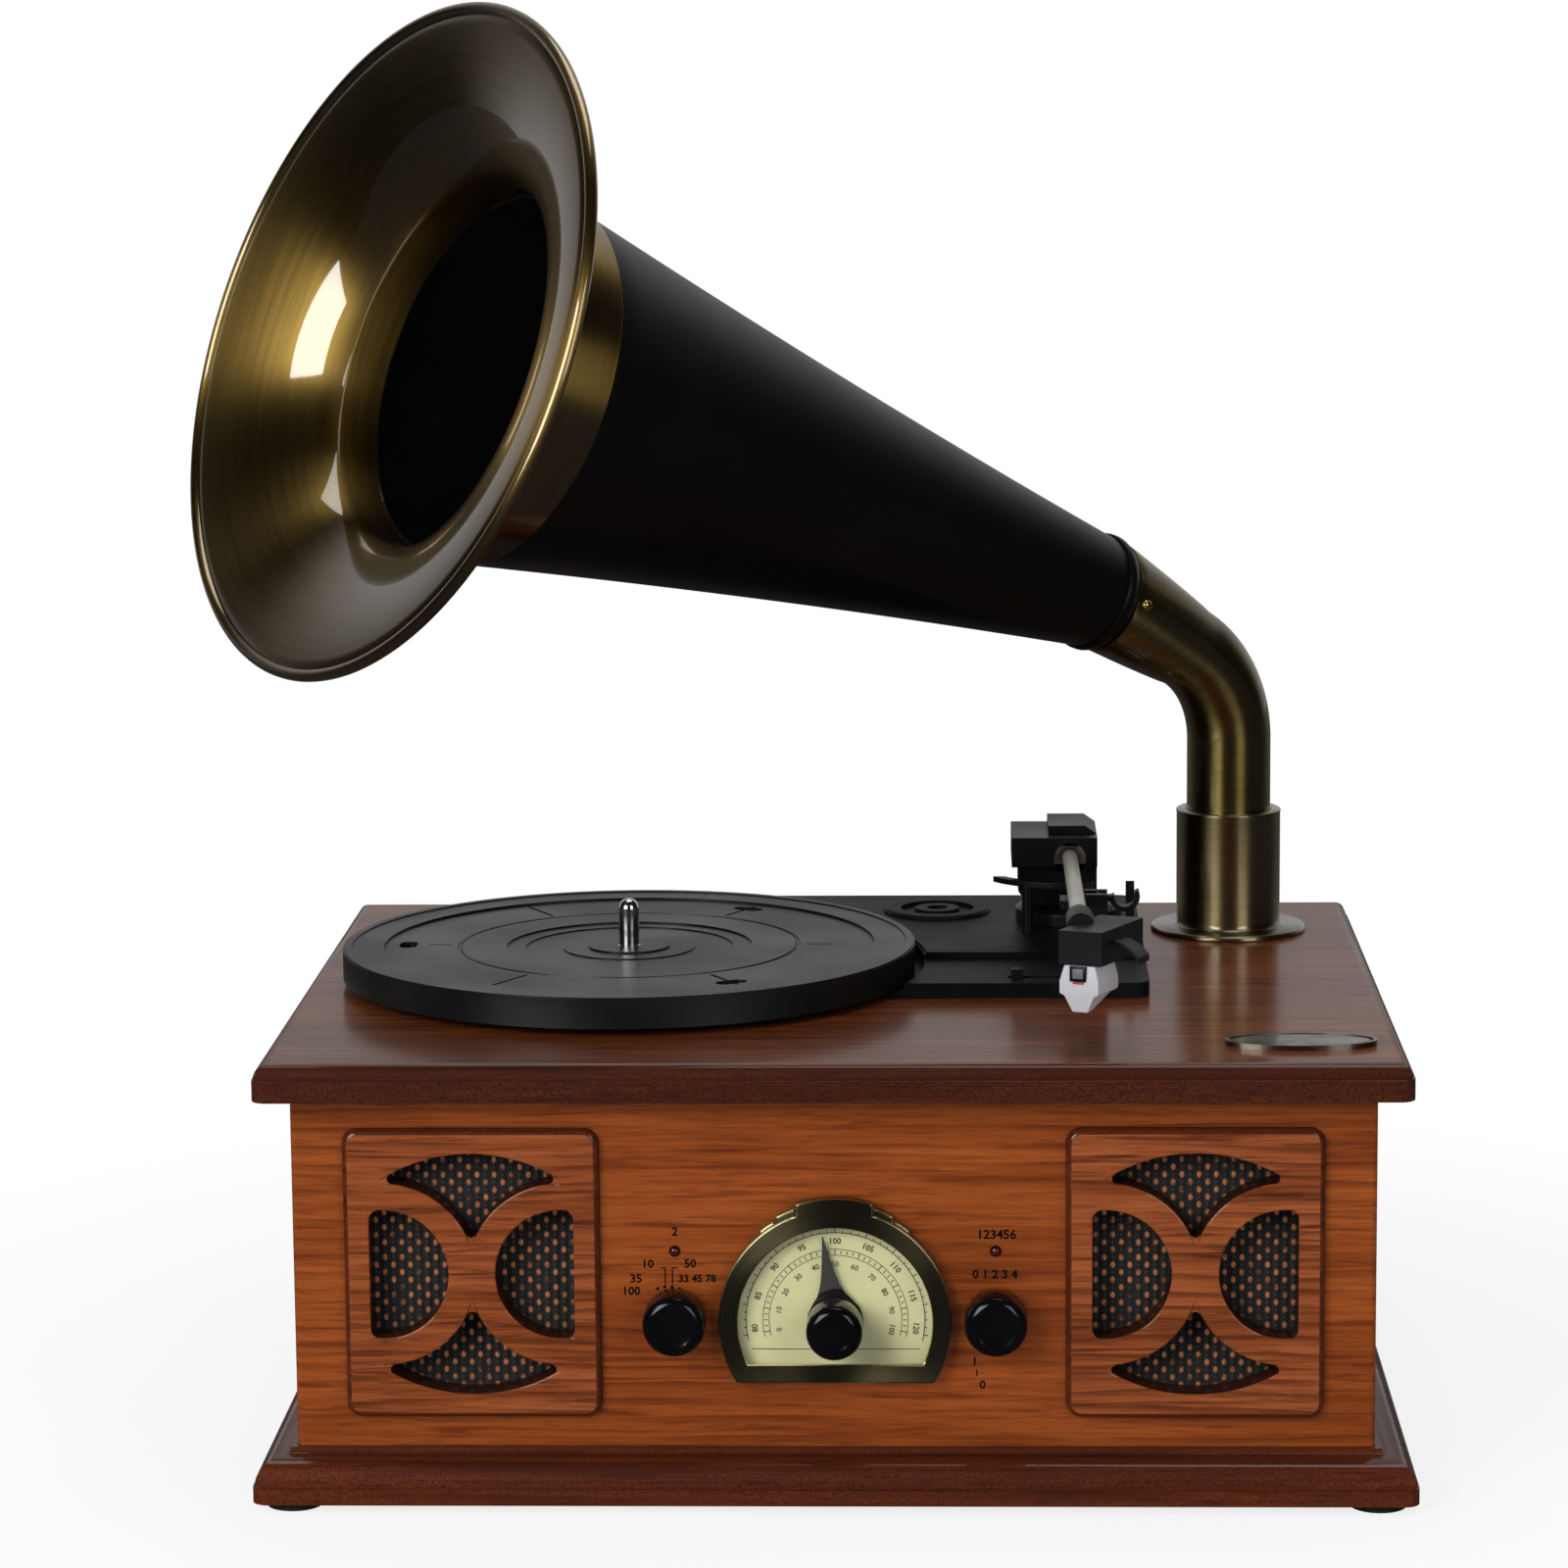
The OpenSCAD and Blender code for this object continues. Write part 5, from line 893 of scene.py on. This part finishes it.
# %% Name plate
BOARD_TOP = 146
PLATE_LONG, PLATE_WIDE = 49, 21
oval = bmesh.new()
bmesh.ops.create_circle(oval, cap_ends=True, radius=PLATE_LONG / 2, segments=96)
bmesh.ops.scale(oval, vec=(1, PLATE_WIDE / PLATE_LONG, 1), verts=oval.verts)
thicken(oval, (0, 0, 1.8))
field = max(oval.faces, key=lambda f: f.calc_center_median().z)
for inset, depth in ((0.9, 0), (0.35, -0.5), (0.9, 0), (0.25, 0.25)):
    bmesh.ops.inset_region(oval, faces=[field], thickness=inset, depth=depth, use_even_offset=True)
bmesh.ops.translate(oval, vec=(PLATE_X, PLATE_Y, BOARD_TOP), verts=oval.verts)
make_piece(oval, "bare_oval_plate", "cabinet", "pewter", pewter, stands_for=["name_plate"])

# %% [markdown]
# The deck, the platter and the arm's parts are injection mouldings. Their copies keep the CAD's
# shapes and get the small radii that a mould gives.

# %% Moulded deck parts
for node, name, body, slot, material, width in (
        ("deck_chassis", "deck_moulding", "cabinet", "deck_plastic", deck_black, 0.45),
        ("platter", "platter_moulding", "turntable", "deck_plastic", platter_black, 0.4),
        ("tonearm_foot", "arm_foot_ring", "cabinet", "deck_plastic", arm_black, 0.4),
        ("arm_turret", "turret_shell", "arm_base", "deck_plastic", arm_black, 0.5),
        ("turret_cover", "turret_cover_shell", "arm_base", "deck_plastic", arm_black, 0.6),
        ("headshell", "headshell_shell", "tonearm", "deck_plastic", arm_black, 0.4),
        ("cartridge", "cartridge_case", "tonearm", "cartridge_white", cartridge_grey, 0.35),
        ("arm_rest", "arm_rest_post", "cabinet", "deck_plastic", arm_black, 0.35),
        ("arm_clip", "arm_clip_hook", "rest_clip", "grey_plastic", arm_black, 0.2),
        ("cue_lever", "cue_lever_blade", "cueing_lever", "deck_plastic", arm_black, 0.3),
        ("cue_lift_bar", "lift_bar_arc", "lift_bar", "grey_plastic", arm_black, 0.3),
        ("speed_lever", "speed_lever_tab", "speed_switch", "grey_plastic", arm_black, 0.3),
        ("adapter_45", "adapter_disc", "large_hole_adapter", "grey_plastic", deck_black, 0.35)):
    make_piece(soften(cad_copy(node), width, 2, 35), name, body, slot, material, stands_for=[node],
               even=True)

# %% [markdown]
# The record spindle is turned steel with a domed tip and a small collar where it leaves the hub.
# The arm's tube is painted grey.

# %% Spindle and tube
PLATTER_X, PLATTER_Y = -72.6, -1.5
pin = [(0, 124), (4, 124), (4, 157.7), (3.85, 157.85), (3.55, 157.9), (3.55, 170.2), (3.4, 171.3),
       (2.9, 172.5), (2.0, 173.4), (1.0, 173.8), (0, 173.85)]
lathe(pin, Matrix.Translation((PLATTER_X, PLATTER_Y, 0)), "spindle_turned", "turntable", "steel",
      spindle_steel, stands_for=["record_spindle"], steps=64, sharp=50)
make_piece(soften(cad_copy("arm_tube"), 0.35, 2, 50), "arm_tube_painted", "tonearm", "arm_grey", arm_grey,
           stands_for=["arm_tube"])

# %% [markdown]
# The cartridge has a dark clip on its front, with a grey tab in it and a red line below it. They
# sit on the CAD's face, in the headshell's own frame: from the arm's pivot, down the sagging arm,
# and turned by the head's offset angle.

# %% Cartridge trim
ARM_PIVOT = (79.6, 68, 177.6)
ARM_SAG, HEAD_OFFSET = math.radians(-1.9), math.radians(-24)
HEAD_AT, CASE_TOP = (-1.2, -194, 0), -9.55
shell = (Matrix.Translation(ARM_PIVOT) @ Matrix.Rotation(ARM_SAG, 4, "X")
         @ Matrix.Translation(HEAD_AT) @ Matrix.Rotation(HEAD_OFFSET, 4, "Z"))
trim = bmesh.new()
for index, (low, high) in enumerate((((-3.0, -0.35, CASE_TOP - 5.0), (2.6, 0.6, CASE_TOP - 0.05)),
                                     ((-2.0, -0.55, CASE_TOP - 4.0), (1.6, 0.0, CASE_TOP - 0.9)),
                                     ((-1.9, -0.5, CASE_TOP - 5.7), (1.7, 0.2, CASE_TOP - 5.1)))):
    block = soften(box_part(low, high), 0.12)
    paint_faces(block, index, lambda f: True)
    bmesh.ops.transform(block, matrix=shell, verts=block.verts)
    join(trim, block)
make_piece(trim, "cartridge_trim", "tonearm", "deck_plastic", arm_black, lever_grey, red_ink)

# %% [markdown]
# The horn stands in a turned collar with a wide flange. The collar is antique brass, and the
# flange's flat top gets a darker brass, painted shade for the dim room that it reflects. The
# collar's upper rim is rolled over, so it shines as a thin ring.

# %% Horn socket
FLANGE_TOP = 149
collar_profile = [(13.4, 146), (27.0, 146), (27.7, 146.3), (27.8, 146.9), (27.4, 147.6), (26.6, 148),
                  (20.2, 148), (19.2, 148.3), (18.7, 149), (18.5, 150.2), (18.5, 188.6), (18.7, 189.2),
                  (18.6, 189.7), (18.1, 190), (15.6, 190), (15.05, 189.5), (14.95, 188.8), (14.95, 151.9),
                  (13.4, 151.9)]
collar = turned(collar_profile, 128, upright_axis)
# the flange's up-facing top gets the darker brass: painted shade
paint_faces(collar, 1, lambda f: f.normal.z > 0.9 and f.calc_center_median().z < FLANGE_TOP)
make_piece(collar, "horn_collar", "cabinet", "antique_brass", collar_brass, flange_painted_shade,
           stands_for=["horn_socket"], sharp=40)

# %% [markdown]
# The elbow is one bent tube, widened at its upper end. Its upper leg is steeper than the horn, and
# its mouth is cut square to the horn. A circle is extruded up the leg, spun round the bend and
# drawn out step by step, growing and turning, until it lies in the mouth. Then solidify gives the
# tube its wall, and small bevels round its two rims.

# %% The elbow's path
LEG_R, MOUTH_R, WALL = 14.9, 19.7, 1.5
Z_FOOT, BEND_R, LEG_RISE, MOUTH_S = 152.0, 40.0, 30.0, 60.0
FOOT_STEPS, BEND_STEPS, DRAWS, WIDENING = 3, 24, 10, 0.85
upper_rise, rise = math.radians(LEG_RISE), math.radians(HORN_RISE)
bend_turn = QUARTER - upper_rise
Z_BEND = (Z_MEET + MOUTH_S * (math.sin(rise) - math.cos(rise) * math.tan(upper_rise))
          - BEND_R * math.tan(bend_turn / 2))
bearing = math.radians(180 + HORN_TURN)
to_horn = Vector((math.cos(bearing), math.sin(bearing), 0))
turn_axis = Vector((0, 0, 1)).cross(to_horn)


def mouth_radius(share):
    """The upper leg's radius at a share of its length"""
    return LEG_R + (MOUTH_R - LEG_R) * share


def centre_of(verts):
    return sum((v.co for v in verts), Vector()) / len(verts)


# %% Elbow
elbow = bmesh.new()
rim = bmesh.ops.create_circle(elbow, radius=LEG_R, segments=96)["verts"]
bmesh.ops.translate(elbow, vec=HORN + Vector((0, 0, Z_FOOT)), verts=rim)


def rim_edges(verts):
    inside = set(verts)
    return [e for e in elbow.edges if e.verts[0] in inside and e.verts[1] in inside]


def draw_out(verts, shift, grow=1.0, turn=0.0):
    verts = verts_of(bmesh.ops.extrude_edge_only(elbow, edges=rim_edges(verts)))
    bmesh.ops.translate(elbow, vec=shift, verts=verts)
    middle = centre_of(verts)
    bmesh.ops.scale(elbow, vec=(grow, grow, grow), space=Matrix.Translation(-middle), verts=verts)
    bmesh.ops.rotate(elbow, cent=middle, matrix=Matrix.Rotation(turn, 3, turn_axis), verts=verts)
    return verts


for step in range(FOOT_STEPS):
    rim = draw_out(rim, Vector((0, 0, (Z_BEND - Z_FOOT) / FOOT_STEPS)))
bend_middle = HORN + Vector((0, 0, Z_BEND)) + to_horn * BEND_R
bent = bmesh.ops.spin(elbow, geom=rim + rim_edges(rim), cent=bend_middle, axis=turn_axis, dvec=(0, 0, 0),
                      steps=BEND_STEPS, angle=bend_turn, use_merge=False, use_duplicate=False)
rim = verts_of(bent, "geom_last")
bend_end = centre_of(rim)
mouth = horn_axis @ Vector((0, 0, MOUTH_S))
radius = LEG_R
for step in range(DRAWS):
    wider = mouth_radius(((step + 1) / DRAWS) ** WIDENING)
    rim = draw_out(rim, (mouth - bend_end) / DRAWS, wider / radius, (upper_rise - rise) / DRAWS)
    radius = wider
bmesh.ops.recalc_face_normals(elbow, faces=elbow.faces)
leg_faces = [f for f in elbow.faces if f.calc_center_median().z < Z_BEND]
if sum(f.normal.xy.dot((f.calc_center_median() - HORN).xy) for f in leg_faces) < 0:
    bmesh.ops.reverse_faces(elbow, faces=elbow.faces)
bmesh.ops.solidify(elbow, geom=elbow.faces[:], thickness=WALL)
soften(elbow, 0.35, 2, 60)
make_piece(elbow, "elbow_tube", "horn", "antique_brass", elbow_brass, stands_for=["horn_elbow"])
print("bend ends at", tuple(round(v, 1) for v in bend_end), "mouth at", tuple(round(v, 1) for v in mouth))

# %% [markdown]
# A small brass screw with a domed, slotted head fixes the cone's neck in the elbow's mouth. It
# stands on the side of the upper leg that faces the camera, just short of the mouth.

# %% Neck screw
SCREW_SHARE, SLOT_HALF, SLOT_DEEP = 0.9, 0.25, 0.5
outward = turn_axis if turn_axis.y < 0 else -turn_axis
seat = (Matrix.Translation(bend_end.lerp(mouth, SCREW_SHARE) + outward * mouth_radius(SCREW_SHARE))
        @ outward.to_track_quat("Z", "Y").to_matrix().to_4x4())
head = turned([(0, -1.6), (1.0, -1.6), (1.0, -0.1), (2.0, -0.1), (2.1, 0.3), (1.8, 0.9), (1.2, 1.35),
               (0.5, 1.55), (0, 1.6)], 40)
for y in (SLOT_HALF, -SLOT_HALF):
    bmesh.ops.bisect_plane(head, geom=head.verts[:] + head.edges[:] + head.faces[:], dist=0.0001,
                           plane_co=(0, y, 0), plane_no=(0, 1, 0))
sunk = [v for v in head.verts if abs(v.co.y) < 0.2 and v.co.z > 1.0]
bmesh.ops.translate(head, vec=(0, 0, -SLOT_DEEP), verts=sunk)
bmesh.ops.transform(head, matrix=seat, verts=head.verts)
make_piece(head, "neck_screw", "horn", "turned_brass", turned_brass, sharp=50)

# %% [markdown]
# The neck ring is black and reaches a little beyond the elbow's mouth, where it makes a shadow
# line. The cone is a rolled sheet with a slightly hollow side, sprayed satin black outside and
# glossier inside.

# %% Neck ring and cone
NECK_R, NECK_BORE, NECK_END, CONE_FOOT_R, CONE_R = 21.0, 18.2, 66.3, 20.0, 59.9
BAND_S, BAND_LEN, CONE_SAG, CONE_T, CONE_STEPS = 316.0, 21.0, 1.6, 1.2, 24
neck_profile = [(NECK_BORE, MOUTH_S), (18.9, MOUTH_S), (19.3, MOUTH_S + 0.5), (20.2, MOUTH_S + 2.0),
                (NECK_R - 0.2, MOUTH_S + 3.2), (NECK_R, MOUTH_S + 3.9), (NECK_R, NECK_END - 0.7),
                (NECK_R - 0.2, NECK_END - 0.2), (NECK_R - 0.7, NECK_END), (NECK_BORE, NECK_END)]
lathe(neck_profile, horn_axis, "neck_ring_black", "horn", "horn_black", cone_paint,
      stands_for=["neck_ring"])
to_axis = horn_axis.inverted()


def cone_at(s):
    t = (s - NECK_END) / (BAND_S - NECK_END)
    return CONE_FOOT_R + (CONE_R - CONE_FOOT_R) * t - 4 * CONE_SAG * t * (1 - t)


def faces_axis(face):
    return (to_axis @ face.calc_center_median()).xy.dot((to_axis.to_3x3() @ face.normal).xy) < 0


stations = [NECK_END + (BAND_S - NECK_END) * i / CONE_STEPS for i in range(CONE_STEPS + 1)]
outer_side = [(cone_at(s), s) for s in stations] + [(CONE_R, BAND_S + BAND_LEN / 2)]
cone = turned(outer_side + [(r - CONE_T, s) for r, s in reversed(outer_side)], 160, horn_axis)
paint_faces(cone, 1, faces_axis)
make_piece(cone, "cone_shell", "horn", "horn_black", cone_paint, cone_inside, stands_for=["horn_cone"],
           sharp=40)

# %% [markdown]
# The bell is spun brass: a straight band that slips over the cone, then a flare that turns out
# ever faster to a rolled edge. Inside it meets the cone at a narrow bright step.

# %% Bell
BAND_R, RIM_R, ROLL_R, BELL_LEN, BELL_T = 60.5, 110.95, 2.0, 29.2, 1.2
FLARE_STEPS, FLARE_START, FLARE_END = 40, 1.7, 0.62
flare_s = BAND_S + BAND_LEN
flare_len = BELL_LEN - ROLL_R


def bell_at(t):
    return BAND_R + (RIM_R - ROLL_R - BAND_R) * (1 - (1 - t ** FLARE_START) ** FLARE_END)


shares = [math.sin(QUARTER * i / FLARE_STEPS) for i in range(FLARE_STEPS + 1)]
flare = [(bell_at(t), flare_s + flare_len * t) for t in shares]
roll = [(RIM_R - ROLL_R + ROLL_R * math.cos(a), flare_s + flare_len + ROLL_R * math.sin(a))
        for a in (math.radians(-50 + 20 * i) for i in range(12))]
lining = [(r - BELL_T * 0.6, s + BELL_T * 0.9) for r, s in reversed(flare[:-3])]
step_s = flare_s - BAND_LEN / 2 + 0.1
bell_profile = ([(CONE_R + 0.05, BAND_S), (BAND_R, BAND_S), (60.75, BAND_S + 0.3), (60.75, flare_s - 0.9),
                 (60.6, flare_s - 0.2)] + flare[1:-1] + roll + lining
                + [(CONE_R - 0.6, flare_s - 0.4), (CONE_R - 0.6, step_s), (CONE_R + 0.05, step_s)])
lathe(bell_profile, horn_axis, "bell_spinning", "horn", "antique_brass", bell_brass,
      stands_for=["horn_bell"], steps=160, sharp=35)

# %% [markdown]
# The CAD nodes that are already right keep their shape and only get a material: the veneered
# side panels, and nearly everything inside the cabinet, seen through the back's slots or with the
# deck off. The radio's chassis is copied, because its board, transformer and connector plate need
# a material each.

# %% Materials for the carried-over nodes
def dress(material, *nodes):
    for node in nodes:
        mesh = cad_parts[node].data
        mesh.materials.clear()
        mesh.materials.append(material)
    print(material.name, "on", len(nodes), "nodes")


dress(veneer_side, "left_side_panel", "right_side_panel")
dress(back_board, "back_panel", "base_panel")
dress(scale_cream, "dial_scale_plate")
dress(rubber, "rubber_feet", "drive_belt")
dress(screw_steel, "foot_screws", "back_panel_screws", "arm_pivot_pin", "tuning_shaft")
dress(sheet_steel, "left_speaker_frame", "right_speaker_frame", "tuning_gang", "selector_switch",
      "volume_control", "motor_body", "spindle_bearing")
dress(paper, "left_speaker_cone", "right_speaker_cone")
dress(magnet_grey, "left_speaker_magnet", "right_speaker_magnet")
dress(turned_brass, "motor_pulley")
PLATE_FRONT, BIG_FACE = 100, 300
chassis = cad_copy("radio_chassis")
paint_faces(chassis, 1, lambda f: f.calc_center_median().y > PLATE_FRONT)
paint_faces(chassis, 2, lambda f: f.calc_center_median().y < PLATE_FRONT and abs(f.normal.z) < 0.9
            and f.calc_area() > BIG_FACE)
make_piece(chassis, "chassis_parts", "cabinet", "circuit", board_green, deck_black, magnet_grey,
           stands_for=["radio_chassis"])

# %% [markdown]
# The floor is a wide sheet. For the camera and through glass it is plain white light mixed with
# some of its own shade, so that the object's shadow still darkens it, and farther out it is all
# light, so that no horizon shows. Gloss sees it dim, as a floor lies in a studio whose light comes
# from above.

# %% Floor
GLOSS_FLOOR, FLOOR_HALF = 0.05, 3.0
FADE_FROM_TO, WHITE_FROM_TO = (0.24, 0.5), (0.82, 1.0)


def seen_directly(tree, ray):
    """One for the camera's rays, and for rays through glass that met no matt face before"""
    unscattered = maths(tree, "LESS_THAN", ray["Diffuse Depth"], 0.5)
    through_glass = product(tree, ray["Is Transmission Ray"], unscattered)
    return maths(tree, "MAXIMUM", ray["Is Camera Ray"], through_glass)


sheet = bmesh.new()
bmesh.ops.create_grid(sheet, x_segments=1, y_segments=1, size=FLOOR_HALF)
mesh = bpy.data.meshes.new("floor")
sheet.to_mesh(mesh)
sheet.free()
floor = new_object("floor", mesh)
paper_white, floor_tree, floor_shader = new_material("paper_white", Roughness=0.9, Specular_IOR_Level=0.0,
                                                     Base_Color=(0.86, 0.86, 0.86, 1))
ray = add(floor_tree, "LightPath").outputs
distance = vectors(floor_tree, "LENGTH", add(floor_tree, "TexCoord").outputs["Object"])
white_share = ranged(floor_tree, distance, *FADE_FROM_TO, *WHITE_FROM_TO, "SMOOTHSTEP")
looked_at = seen_directly(floor_tree, ray)
glowing = maths(floor_tree, "MAXIMUM", product(floor_tree, looked_at, white_share), ray["Is Glossy Ray"])
strength = maths(floor_tree, "MAXIMUM", looked_at, product(floor_tree, ray["Is Glossy Ray"], GLOSS_FLOOR))
glow = add(floor_tree, "Emission", [("Color", (1, 1, 1, 1)), ("Strength", strength)])
blend = add(floor_tree, "MixShader", [(0, glowing), (1, floor_shader.outputs[0]), (2, glow.outputs[0])])
link(floor_tree, floor_tree.nodes["Material Output"].inputs, Surface=blend.outputs[0])
mesh.materials.append(paper_white)
print("floor is", [round(v, 1) for v in floor.dimensions], "m")

# %% [markdown]
# The world is white for the camera. Gloss sees a room instead: bright toward the backdrop and dark
# toward the photographer, as in a studio. Matt faces get a weak even light from all sides.

# %% World
DARK_SIDE, BRIGHT_SIDE, SOFT_FILL = 0.012, 0.5, 0.34
world = bpy.data.worlds.new("studio")
bpy.context.scene.world = world
world.use_nodes = True
sky = world.node_tree
ray = add(sky, "LightPath").outputs
axes = add(sky, "SeparateXYZ", [(0, add(sky, "TexCoord").outputs["Generated"])]).outputs
room = ranged(sky, axes["Y"], 0.3, 0.8, DARK_SIDE, BRIGHT_SIDE, "SMOOTHSTEP")
filled = maths(sky, "MAXIMUM", room, product(sky, ray["Is Diffuse Ray"], SOFT_FILL))
link(sky, sky.nodes["Background"].inputs, Strength=maths(sky, "MAXIMUM", filled, seen_directly(sky, ray)))
sky.nodes["Background"].inputs["Color"].default_value = (1, 1, 1, 1)
print("world has", len(sky.nodes), "nodes")

# %% [markdown]
# A large window-like soft box at the left is the main light: it draws the bright pane in the bell
# and the streaks on the collar, and throws soft shadows to the right. A weaker one at the right
# and one above fill the rest.

# %% Lights
def lamp(name, place, target, size, power):
    light = bpy.data.lights.new(name, "AREA")
    light.shape = "RECTANGLE"
    light.size, light.size_y = size
    light.energy = power
    aim = (Vector(target) - Vector(place)).to_track_quat("-Z", "Y").to_matrix().to_4x4()
    new_object(name, light).matrix_world = Matrix.Translation(place) @ aim
    print(name, power, "W")


lamp("window_box", (-1.25, -1.7, 1.05), (0, 0, 0.15), (1.15, 1.2), 36)
lamp("right_box", (1.14, -1.65, 0.85), (0, 0, 0.15), (0.7, 1.1), 9)
lamp("top_box", (0.1, 0.2, 1.9), (0, 0, 0.1), (1.2, 0.9), 10)
